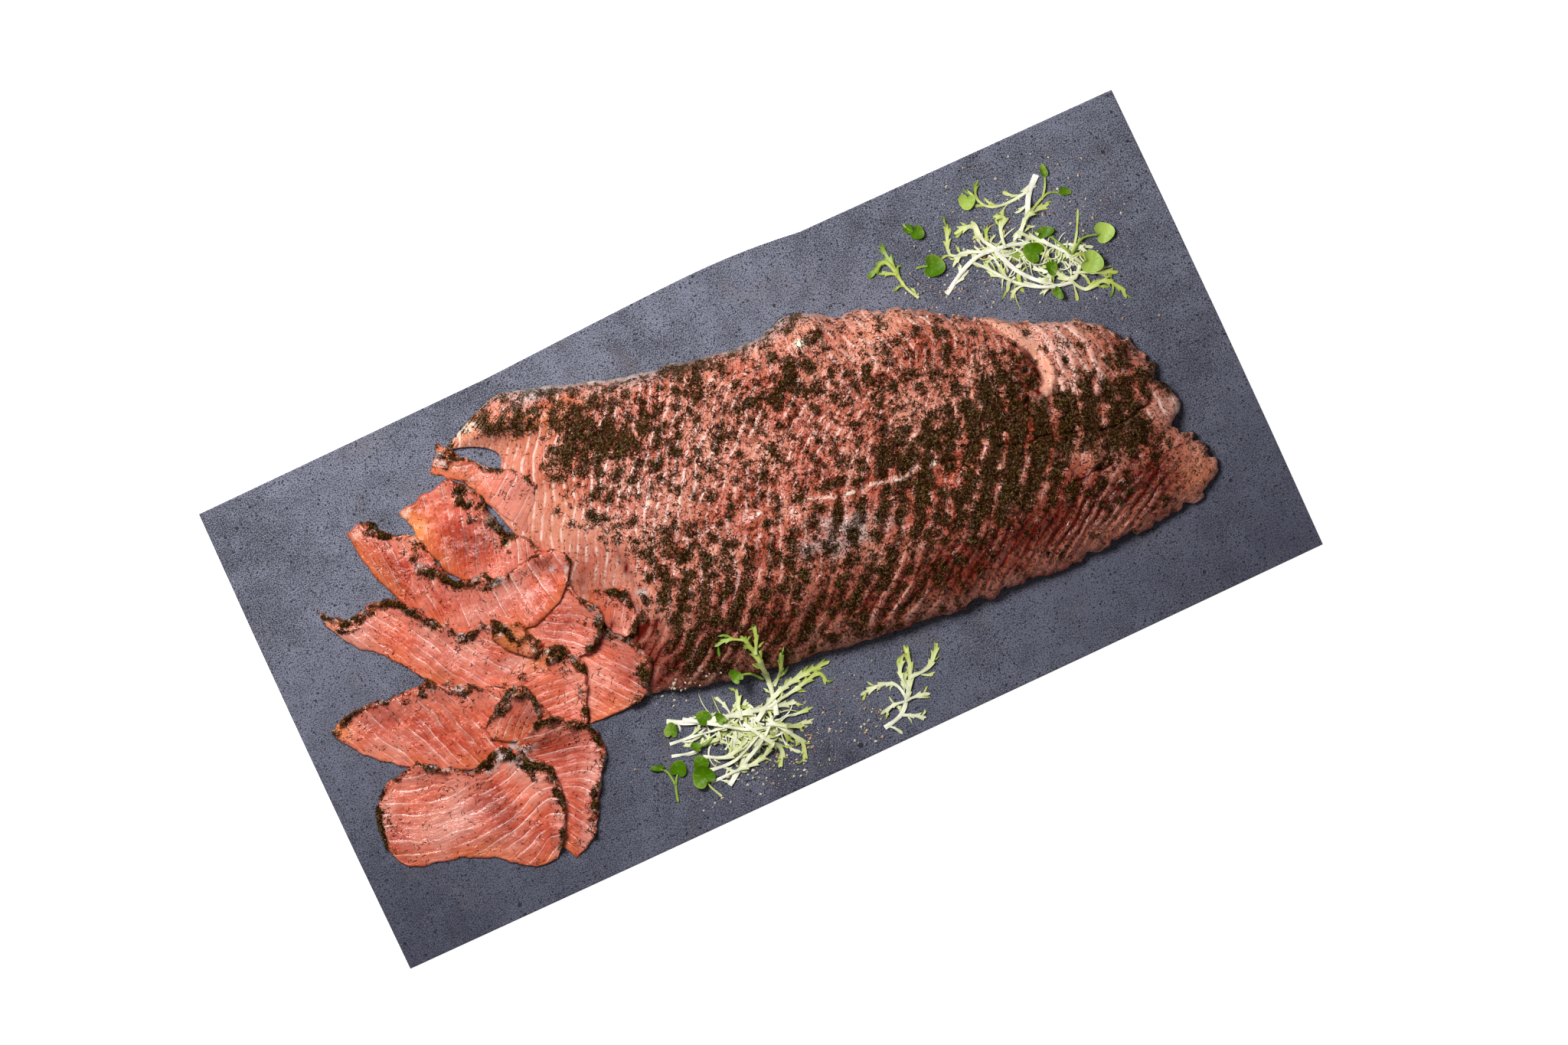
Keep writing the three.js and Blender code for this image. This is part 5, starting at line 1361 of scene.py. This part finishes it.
def endive_paint(place, look):
    """Curly endive: white ribs to green tips by the mesh's green note, with fine streaks."""
    fine = place.noise(420, 3)
    green = place.note("green") + (fine - 0.5) * 0.22
    stops = [(0.0, look.rib), (1.0, look.tip), (0.3, look.heart), (0.68, look.leaf)]
    base = place.node("ShaderNodeValToRGB", {"stops": stops}, {"Fac": green})
    return {
        "Base Color": base, "Roughness": 0.38 + fine * 0.2, "Normal": place.bump(fine, 0.0004, 0.4),
        "Subsurface Weight": 0.18, "Subsurface Scale": 0.002, "Subsurface Radius": (0.8, 1.0, 0.4),
        "Specular IOR Level": 0.4,
    }


def cress_paint(place, look):
    """Cress: upper green to pale underside by the mesh's pale note, with fine mottling."""
    fine = place.noise(380, 3)
    pale = place.note("pale") + (fine - 0.5) * 0.25
    base = pale.step(0.0, 1.0).mix(look.cress, look.cress_pale)
    return {
        "Base Color": base, "Roughness": 0.22 + fine * 0.2, "Normal": place.bump(fine, 0.0005, 0.5),
        "Subsurface Weight": 0.05, "Subsurface Scale": 0.0015, "Subsurface Radius": (0.5, 1.0, 0.1),
        "Specular IOR Level": 0.1,
    }


def crumb_paint(place, tone):
    """A dry crumb: one tone with fine light and dark."""
    shade = tuple(0.6 * value for value in tone[:])
    return {"Base Color": place.noise(900, 2).step(0.3, 0.65).mix(shade, tone), "Roughness": 0.75}


def floor_paint(place, look):
    """A pale floor: one tone, matt, with a light of its own."""
    return {
        "Base Color": look.floor, "Roughness": 0.8, "Specular IOR Level": 0.1,
        "Emission Color": look.floor, "Emission Strength": look.glow,
    }


def bits(middle, aim, long, thick, bend, random):
    """Bent slivers: for each, two ends half its length along its aim and two points either side of its middle,
    which is raised by the bend and set forwards or back at random. All are closed by four triangles."""
    count = len(middle)
    side = unit(np.cross(aim, (0.0, 0.0, 1.0)))
    up = np.cross(side, aim)
    out = side * (thick / 2)[:, None]
    lean = up * (0.3 * thick)[:, None]
    waist = middle + up * bend[:, None] + aim * (long * random.uniform(-0.2, 0.2, count))[:, None]
    ends = aim * long[:, None] / 2
    low, high = middle - lean, waist + lean
    points = np.stack([low - ends, low + ends, high - out, high + out], axis=1)
    pattern = np.array([[0, 3, 2], [1, 2, 3], [0, 1, 3], [1, 0, 2]])
    faces = pattern[None] + 4 * np.arange(count)[:, None, None]
    return points.reshape(-1, 3), faces.reshape(-1, 3)


def strew_dill(look):
    """Dill bits over all salmon surfaces: their number at a point is drawn from its rate, hidden points are
    passed over, and each bit lies along the surface, turned off the flakes' direction at random. It is lifted
    at random, higher where the cover is thick, and the lighter tones tend to lie higher and the darker ones
    lower, which paints light on the top of a clump and shade in its depth."""
    random = np.random.default_rng(look.seed)
    x, y, z, rate, angle, cover = (np.concatenate([part[k].ravel() for part in strewn]) for k in range(6))
    seen = z > ground.at(x, y) - HIDDEN_BELOW
    count = random.poisson(rate * seen)
    pick = np.repeat(np.arange(len(x)), count)
    x, y, z, angle, cover = x[pick], y[pick], z[pick], angle[pick], cover[pick]
    total = len(pick)
    angle = angle + random.normal(0, 1.2, total)
    long = (look.short + (look.long - look.short) * random.random(total) ** 1.7) / MM
    x = x + random.uniform(-DILL_JITTER, DILL_JITTER, total)
    y = y + random.uniform(-DILL_JITTER, DILL_JITTER, total)
    step_x, step_y = np.cos(angle), np.sin(angle)
    rise = (ground.at(x + step_x, y + step_y) - ground.at(x - step_x, y - step_y)) / 2
    rise = np.clip(rise, -DILL_STEEPEST, DILL_STEEPEST) + random.normal(0, 0.12, total)
    aim = unit(np.stack([step_x, step_y, rise], -1))
    thick = look.thick / MM * random.uniform(0.7, 1.25, total)
    lift = random.random(total) * (0.3 + 0.6 * cover)
    middle = np.stack([x, y, z + 0.12 + lift], -1)
    bend = random.uniform(-0.1, 0.3, total)
    # Painted light and shade: the lighter tones go to the higher bits and the darker ones to the lower.
    lit_rank = np.argsort(np.argsort(lift + random.normal(0, 0.4, total))) / total
    kind = np.searchsorted(np.cumsum(list(DILL_TONES.values()))[:-1], lit_rank)
    return kind, (middle, aim, long, thick, bend), random


class HeapLayer(Raster):
    """The heights of the salad pieces of one heap that are laid so far."""

    def __init__(self):
        super().__init__(GROUND_BOX, GROUND_CELL)

    def rest(self, x, y):
        """What carries the next piece: the salmon or the slab, or the heap, sunk into a little, if higher."""
        return np.maximum(ground.at(x, y), self.at(x, y) - HEAP_SINK)


def ribbon(layer, strip, random):
    """An endive strip as a closed sheet, and how green each point is.

    Along its route its half width narrows evenly from root to tip. Where it is toothed, its outer part is a
    blade whose margins run out into hooks: a power of a saw of the length along it, swept forwards. Across
    it, it is thickest at its rib and its margins wave. It lies on the highest place under its width.
    """
    route, root, tip, toothed, (green_root, green_tip) = strip
    run = spline(route, 9)[1]
    count = max(10, int(run / STRIP_CELL))
    line, _ = spline(route, count)
    share = np.linspace(0, 1, count)
    aim = unit(np.gradient(line, axis=0))
    side = np.stack([-aim[:, 1], aim[:, 0]], -1)
    across = np.linspace(-1, 1, 5 if root < 2 else 7)
    half = (root + (tip - root) * share) / 2
    half = half * np.sqrt(np.clip((1 - share) * run / 2.0 + 0.06, 0, 1))
    along = share * run
    reach = np.ones((count, 2)) * half[:, None]
    sweep = np.zeros((count, 2))
    if toothed:
        blade = smooth(0.2, 0.65, share) * np.clip((1 - share) * run / 3, 0, 1) * min(1.0, run / 14)
        for k in (0, 1):
            saw = np.mod(along / random.uniform(5.0, 9.0) + random.random(), 1.0)
            hook = random.uniform(1.2, 2.8) * blade * saw ** 2.4 * (1 - smooth(0.86, 1.0, saw))
            reach[:, k] += 0.4 * blade + hook
            sweep[:, k] = hook
    left = across < 0
    out = np.where(left, reach[:, :1], reach[:, 1:]) * across
    forward = np.where(left, sweep[:, :1], sweep[:, 1:]) * np.abs(across) ** 1.5
    place = line[:, None] + side[:, None] * out[..., None] + aim[:, None] * forward[..., None]
    x, y = place[..., 0], place[..., 1]
    floor = layer.rest(x[:, 1:-1], y[:, 1:-1]).max(1)
    rest = lift_over(floor[:, None], STRIP_ROUNDS)[:, 0] + GAP
    arch = random.uniform(0.2, 1.4) * np.sin(np.pi * share) ** 2
    slack = min(1.0, root / 3)
    curl = 0.4 * slack * np.sin(along / random.uniform(2.2, 3.4) + random.uniform(0, 6))[:, None] * across ** 3
    lift = across ** 2 * slack * random.uniform(0.1, 0.5)
    thick = 0.22 + 0.18 * min(root, 3.2) * (half / (root / 2))[:, None] * (1 - across ** 2)
    under = np.maximum(rest[:, None] + arch[:, None] + curl + lift, SLAB_TOP + SMALL_GAP)
    top = under + thick
    layer.cover(x, y, top)
    margin = np.abs(across)[None] * (reach.max(1) / (root / 2 + 2.5))[:, None]
    green = green_root + (green_tip - green_root) * share[:, None] + 0.3 * margin * (green_tip > 0.25)
    green = np.clip(np.broadcast_to(green, x.shape), 0, 1).ravel()
    points, faces = sheet(x, y, top, under)
    return points, faces, np.concatenate([green, green])


def bent_path(start, heading, bend, step, count):
    """A path of even steps from a start, each turned by the bend from the one before."""
    turns = heading + bend * np.arange(count)
    steps = step * np.stack([np.cos(turns), np.sin(turns)], -1)
    return start + np.concatenate([[[0, 0]], np.cumsum(steps, 0)])


def side_shoots(strip, random):
    """Thin shoots of a strip, on one side and the other: those of a toothed strip lean out from it and bend,
    and those of a plain rib are longer and part from it slowly."""
    route, _, _, toothed, (green_root, green_tip) = strip
    run = spline(route, 9)[1]
    number = int(run / SHOOT_SPACING) if toothed or green_root < 0.4 else 0
    line, _ = spline(route, 60)
    made = []
    for k in range(number):
        share = (k + random.uniform(0.3, 0.9)) / number
        place = int(share * 58)
        ahead = line[place + 1] - line[place]
        lean = random.uniform(0.4, 0.9) if toothed else random.uniform(0.1, 0.4)
        step = random.uniform(2.0, 4.2) * (1 - 0.35 * share) * (1 if toothed else 1.6)
        heading = math.atan2(ahead[1], ahead[0]) + (lean if k % 2 else -lean)
        path = bent_path(line[place], heading, random.normal(0, 0.35), step, 3)
        if (np.abs(path) < SALAD_REACH).all():
            green = min(1.0, green_root + (green_tip - green_root) * share + 0.1)
            made.append((path, random.uniform(0.8, 1.3), STRAND_TIP, 1, (green, min(1.0, green + 0.25))))
    return made


def turned(centre, across, up, turn):
    """Places given from a centre, turned about it by an angle: the cosine and sine of it blend both axes."""
    cosine, sine = math.cos(turn), math.sin(turn)
    return centre[0] + across * cosine - up * sine, centre[1] + across * sine + up * cosine


def disc_grid(count):
    """A square grid squeezed into a disc: each coordinate times the root of one less half the other's
    square."""
    a, b = np.meshgrid(*(np.linspace(-1, 1, count),) * 2, indexing="ij")
    return a * np.sqrt(1 - b ** 2 / 2), b * np.sqrt(1 - a ** 2 / 2)


def core_mound(layer, core):
    """A low uneven mound under the strips: on a disc its height falls as one less the squared distance."""
    centre, (radius_x, radius_y), turn = core
    a, b = disc_grid(21)
    x, y = turned(centre, a * radius_x * CORE_SHARE, b * radius_y * CORE_SHARE, turn)
    fall = np.clip(1 - a ** 2 - b ** 2, 0, 1)
    top = ground.at(x, y) + 0.2 + CORE_HEIGHT * fall * (0.75 + 0.4 * noise(x, y, 4, 301))
    layer.cover(x, y, top)
    return *sheet(x, y, top, ground.at(x, y) + SMALL_GAP), CORE_GREEN


def cress_leaf(layer, leaf):
    """A round cress leaf as a closed sheet, and its paleness: a disc with a notch at its stem, cupped by the
    square of the distance from its middle, its rim waved twice round, with sunken veins."""
    centre, radius, slim, stem, pale = leaf
    phase = centre[0]
    a, b = disc_grid(19)
    far, angle = np.hypot(a, b), np.arctan2(b, a)
    notch = 0.4 * np.exp(-((angle / 0.4) ** 2))
    reach = radius * (1 - notch - 0.07 * np.cos(3 * angle + 0.5 * math.sin(phase)))
    x, y = turned(centre, far * reach * np.cos(angle), slim * far * reach * np.sin(angle), stem)
    rest = layer.rest(x, y).max() + GAP
    vein = np.exp(-((np.sin(2.5 * angle) / 0.16) ** 2)) * smooth(0.05, 0.3, far) * (1 - smooth(0.75, 1, far))
    under = rest + far ** 2 * (0.9 + 0.7 * np.cos(2 * angle + phase)) * radius * 0.22
    top = under + LEAF_THICKNESS - 0.1 * vein
    layer.cover(x, y, top)
    # Paler on the veins and the rim, and paler towards one side of each leaf and darker towards the other, a
    # painted highlight and shade; the underside is paler still.
    tone = pale + 0.3 * vein + 0.2 * smooth(0.85, 1, far) + 0.2 * far * np.cos(angle + phase)
    tone = np.clip(tone, 0, 1).ravel()
    points, faces = sheet(x, y, top, under)
    return points, faces, np.concatenate([tone, np.clip(tone + 0.4, 0, 1)])


def cress_stem(layer, route):
    """A stem as a closed tube: a circle carried along the route, its radius falling to its ends."""
    count = max(8, int(spline(route, 9)[1] / 0.8))
    line, _ = spline(route, count)
    share = np.linspace(0, 1, count)
    aim = unit(np.gradient(line, axis=0))
    radius = (0.85 - 0.2 * share) * np.clip(np.minimum(share, 1 - share) * count / 1.5 + 0.03, 0, 1) ** 0.5
    floor = layer.rest(line[:, 0], line[:, 1])
    rest = lift_over(floor[:, None], STEM_ROUNDS)[:, 0] + radius
    turn = np.arange(STEM_SIDES) * 2 * np.pi / STEM_SIDES
    out = radius[:, None] * np.cos(turn)
    x = line[:, :1] - aim[:, 1:] * out
    y = line[:, 1:] + aim[:, :1] * out
    z = rest[:, None] + radius[:, None] * np.sin(turn)
    layer.cover(x, y, z)
    ring = np.arange(count * STEM_SIDES).reshape(count, STEM_SIDES)
    after = np.roll(ring, -1, axis=1)
    walls = np.stack([ring[:-1], ring[1:], after[1:], after[:-1]], -1).reshape(-1, 4)
    caps = [ring[:1], ring[-1:, ::-1]]
    return np.stack([x, y, z], -1).reshape(-1, 3), walls, caps


def lay_cress(name, layer, leaves, stems, material, replaced):
    """Lays stems and then leaves as one piece."""
    pile = Pile()
    caps = []
    for route in stems:
        points, walls, ends = cress_stem(layer, route)
        caps += [end + pile.size for end in ends]
        pile.add(points, walls, STEM_PALE)
    for leaf in leaves:
        pile.add(*cress_leaf(layer, leaf))
    points, faces, pale = pile.whole()
    lay(name, points, faces + caps, material, "cress", replaced, crease=SALAD_CREASE, pale=pale)


def random_strands(cores, number, random):
    """Thin strands strewn over the cores, some of them toothed: each starts inside one and bends by a random
    turn."""
    made = []
    for k in range(number):
        centre, (radius_x, radius_y), turn = cores[k % len(cores)]
        far, angle = 0.85 * math.sqrt(random.random()), random.uniform(0, 2 * math.pi)
        start = turned(centre, far * radius_x * math.cos(angle), far * radius_y * math.sin(angle), turn)
        heading, bend, step = random.uniform(0, 2 * math.pi), random.normal(0, 0.45), random.uniform(2.6, 6.0)
        path = bent_path(np.array(start), heading, bend, step, 4)
        green = random.uniform(0.0, 0.5)
        width, toothed = random.uniform(0.8, 1.5), int(random.random() < 0.45)
        made.append((path, width, STRAND_TIP, toothed, (green, green + 0.3)))
    return made


def crumb_shapes(look, random):
    """Crumbs as eight-faced lumps: their corners, and which tone each has. They are strewn as a bell curve
    round each spot, small ones are commonest by a power of a random share, and their corners are uneven."""
    centre = np.concatenate([
        np.array([x, y]) + random.normal(0, 1, (count, 2)) * (spread_x, spread_y)
        for x, y, spread_x, spread_y, count in CRUMB_SPOTS
    ])
    centre = centre[(np.abs(centre) < CRUMB_REACH).all(1)]
    radius = (look.small + (look.large - look.small) * random.random(len(centre)) ** 2.4) / MM
    tone = random.choice(len(CRUMB_TONES), len(centre), p=list(CRUMB_TONES.values()))
    height = ground.at(centre[:, 0], centre[:, 1]) + 0.5 * radius
    middle = np.concatenate([centre, height[:, None]], 1)
    shape = CRUMB_CORNERS * radius[:, None, None] * random.uniform(0.6, 1.2, (len(centre), 6, 1))
    shape[..., :2] += random.normal(0, 0.15, shape[..., :2].shape) * radius[:, None, None]
    return middle[:, None] + shape, tone


def lay_floor(look):
    """A wide pale floor just under the slab, with a light of its own."""
    half = FLOOR_HALF
    corners = [(-half, -half, 0), (half, -half, 0), (half, half, 0), (-half, half, 0)]
    mesh = bpy.data.meshes.new("floor")
    mesh.from_pydata(corners, [], [(0, 1, 2, 3)])
    mesh.materials.append(material_of("pale_floor", floor_paint, look))
    floor = bpy.data.objects.new("floor", mesh)
    floor.location.z = -FLOOR_DROP
    bpy.context.scene.collection.objects.link(floor)


def hang_lights(look):
    """A round lamp behind the slab, turned to its middle, and an even white fill from all round."""
    lamp = bpy.data.lights.new("main_light", "AREA")
    lamp.shape, lamp.size, lamp.energy = "DISK", LAMP_SIZE, look.key
    key = bpy.data.objects.new("main_light", lamp)
    key.location = LAMP_PLACE
    key.rotation_euler = (-key.location).to_track_quat("-Z", "Y").to_euler()
    bpy.context.scene.collection.objects.link(key)
    world = bpy.data.worlds.new("soft_fill")
    world.use_nodes = True
    background = world.node_tree.nodes["Background"]
    background.inputs["Color"].default_value = (1, 1, 1, 1)
    background.inputs["Strength"].default_value = look.fill
    bpy.context.scene.world = world


def set_camera(look):
    """A camera straight above: its focal length is to its sensor as its height is to the width it sees."""
    camera = bpy.data.cameras.new("camera")
    camera.sensor_width = SENSOR_WIDTH
    camera.lens = camera.sensor_width * look.height / SEEN_WIDTH
    camera.clip_end = SEEN_DEPTH
    eye = bpy.data.objects.new("camera", camera)
    eye.location = (*CAMERA_PLACE, SLAB_TOP * MM + look.height)
    eye.rotation_euler = (0, 0, -look.tilt)
    bpy.context.scene.collection.objects.link(eye)
    bpy.context.scene.camera = eye
    bpy.context.scene.view_settings.view_transform = "Standard"


class GRAVLAX_OT_slab(Operator):
    """Gives the slab its stone."""
    bl_idname = "gravlax.slab"
    bl_label = "Stone slab"

    def execute(self, context):
        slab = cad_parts["slab"]
        stone = material_of("honed_stone", stone_paint, context.scene.gravlax_stone)
        slab.data.materials.clear()
        slab.data.materials.append(stone)
        return {"FINISHED"}


class GRAVLAX_OT_side(Operator):
    """Builds the salmon side."""
    bl_idname = "gravlax.side"
    bl_label = "Salmon side"

    def execute(self, context):
        look = context.scene.gravlax_flesh
        flesh = material_of("cured_side", flesh_paint, look, look.side_flesh, look.side_dark, SIDE_THIN)
        top, notes = side_shape(look)
        ground.cover(top[..., 0], top[..., 1], top[..., 2])
        points, faces = mound(top, SLAB_TOP)
        border = grid_border(*SIDE_GRID)
        notes = {key: np.concatenate([value.ravel(), value.ravel()[border]]) for key, value in notes.items()}
        lay("salmon_side", points, faces, flesh, "cured_side", "gravlax_side", **notes)
        return {"FINISHED"}


class GRAVLAX_OT_slices(Operator):
    """Builds the fourteen slices, from the lowest to the topmost."""
    bl_idname = "gravlax.slices"
    bl_label = "Slices"

    def execute(self, context):
        if not strewn:
            raise RuntimeError("the slices lie on the salmon side, which is built first")
        look = context.scene.gravlax_flesh
        flesh = material_of("slice_flesh", flesh_paint, look, look.slice_flesh, look.slice_dark, SLICE_THIN)
        for number, outline in enumerate(SLICES, 1):
            grid, notes = slice_shape(number, outline)
            points, faces = sheet(*grid)
            whole = {key: np.broadcast_to(value, grid[0].shape).ravel() for key, value in notes.items()}
            both = {key: np.tile(value, 2) for key, value in whole.items()}
            name = f"slice_{number:02d}"
            lay(f"{name}_flesh", points, faces, flesh, "slice_flesh", name, crease=SLICE_CREASE, **both)
        return {"FINISHED"}


class GRAVLAX_OT_dill(Operator):
    """Strews chopped dill over the salmon, in five tones."""
    bl_idname = "gravlax.dill"
    bl_label = "Chopped dill"

    def execute(self, context):
        if len(strewn) <= len(SLICES):
            raise RuntimeError("dill is strewn on the side and the slices, which are built first")
        look = context.scene.gravlax_dill
        kind, shape, random = strew_dill(look)
        for number, name in enumerate(DILL_TONES):
            chosen = [part[kind == number] for part in shape]
            points, faces = bits(*chosen, random)
            herb = material_of(f"dill_{name}", dill_paint, getattr(look, name))
            lay(f"dill_{name}", points, faces, herb, "cured_side")
        return {"FINISHED"}


class GRAVLAX_OT_salad(Operator):
    """Builds both salad heaps and the loose sprigs of endive."""
    bl_idname = "gravlax.salad"
    bl_label = "Endive and cress heaps"

    def execute(self, context):
        look = context.scene.gravlax_salad
        random = np.random.default_rng(look.seed)
        endive = material_of("curly_endive", endive_paint, look)
        cress = material_of("cress_leaf", cress_paint, look)
        heaps = [
            ("salad_back", SALAD_BACK, CORES_BACK, STRANDS_BACK, CRESS_BACK, STEMS_BACK),
            ("salad_front", SALAD_FRONT, CORES_FRONT, STRANDS_FRONT, CRESS_FRONT, STEMS_FRONT),
            ("endive_sprig_back", SPRIG_BACK, [], 0, [], []),
            ("endive_sprig_front", SPRIG_FRONT, [], 0, [], []),
        ]
        for name, strips, cores, strands, leaves, stems in heaps:
            layer, pile = HeapLayer(), Pile()
            for core in cores:
                pile.add(*core_mound(layer, core))
            slim = [
                (route, STRIP_SHARE * root, STRIP_SHARE * tip, *rest) for route, root, tip, *rest in strips
            ]
            shoots = [shoot for strip in slim for shoot in side_shoots(strip, random)]
            for strip in random_strands(cores, strands, random) + shoots + slim:
                pile.add(*ribbon(layer, strip, random))
            points, faces, green = pile.whole()
            lay(f"{name}_endive", points, faces, endive, "endive", name, crease=SALAD_CREASE, green=green)
            if leaves:
                lay_cress(f"{name}_cress", layer, leaves, stems, cress, None)
        return {"FINISHED"}


class GRAVLAX_OT_cress(Operator):
    """Builds the loose cress beside the heaps."""
    bl_idname = "gravlax.cress"
    bl_label = "Loose cress"

    def execute(self, context):
        cress = material_of("loose_cress_leaf", cress_paint, context.scene.gravlax_salad)
        for name, (leaves, stems) in CRESS_LOOSE.items():
            lay_cress(f"{name}_leaves", HeapLayer(), leaves, stems, cress, name)
        return {"FINISHED"}


class GRAVLAX_OT_crumbs(Operator):
    """Strews crumbs round the salad, in three tones."""
    bl_idname = "gravlax.crumbs"
    bl_label = "Crumbs"

    def execute(self, context):
        look = context.scene.gravlax_crumbs
        shapes, tone = crumb_shapes(look, np.random.default_rng(look.seed))
        for number, name in enumerate(CRUMB_TONES):
            points = shapes[tone == number]
            faces = CRUMB_FACES + 6 * np.arange(len(points))[:, None, None]
            crumb = material_of(f"crumb_{name}", crumb_paint, getattr(look, name))
            points, faces = points.reshape(-1, 3), faces.reshape(-1, 3)
            lay(f"crumbs_{name}", points, faces, crumb, "cured_side", crease=CRUMB_CREASE)
        return {"FINISHED"}


class GRAVLAX_OT_stage(Operator):
    """Sets the floor, the light and the camera straight above."""
    bl_idname = "gravlax.stage"
    bl_label = "Stage"

    def execute(self, context):
        look = context.scene.gravlax_stage
        lay_floor(look)
        hang_lights(look)
        set_camera(look)
        return {"FINISHED"}


OPERATORS = (
    GRAVLAX_OT_slab, GRAVLAX_OT_side, GRAVLAX_OT_slices, GRAVLAX_OT_dill, GRAVLAX_OT_salad,
    GRAVLAX_OT_cress, GRAVLAX_OT_crumbs, GRAVLAX_OT_stage,
)
LOOKS = {
    "gravlax_stone": StoneLook, "gravlax_flesh": FleshLook, "gravlax_dill": DillLook,
    "gravlax_salad": SaladLook, "gravlax_crumbs": CrumbLook, "gravlax_stage": StageLook,
}


class GRAVLAX_PT_panel(Panel):
    """Lists the pieces and their sizes and colours."""
    bl_label = "Gravlax"
    bl_space_type = "VIEW_3D"
    bl_region_type = "UI"
    bl_category = "Gravlax"

    def draw(self, context):
        for operator in OPERATORS:
            self.layout.operator(operator.bl_idname)
        for key, look in LOOKS.items():
            box = self.layout.box()
            for name in look.__annotations__:
                box.prop(getattr(context.scene, key), name)


def register():
    """Adds the looks, the operators and the panel, and hangs each look on the scene."""
    for made in (*LOOKS.values(), *OPERATORS, GRAVLAX_PT_panel):
        bpy.utils.register_class(made)
    for key, look in LOOKS.items():
        setattr(bpy.types.Scene, key, PointerProperty(type=look))


def unregister():
    """Takes away what register adds, in the reverse order."""
    for key in LOOKS:
        delattr(bpy.types.Scene, key)
    for made in reversed((*LOOKS.values(), *OPERATORS, GRAVLAX_PT_panel)):
        bpy.utils.unregister_class(made)


def main():
    register()
    bpy.ops.gravlax.slab()
    bpy.ops.gravlax.side()
    bpy.ops.gravlax.slices()
    bpy.ops.gravlax.dill()
    bpy.ops.gravlax.salad()
    bpy.ops.gravlax.cress()
    bpy.ops.gravlax.crumbs()
    bpy.ops.gravlax.stage()


if __name__ == "__main__":
    main()
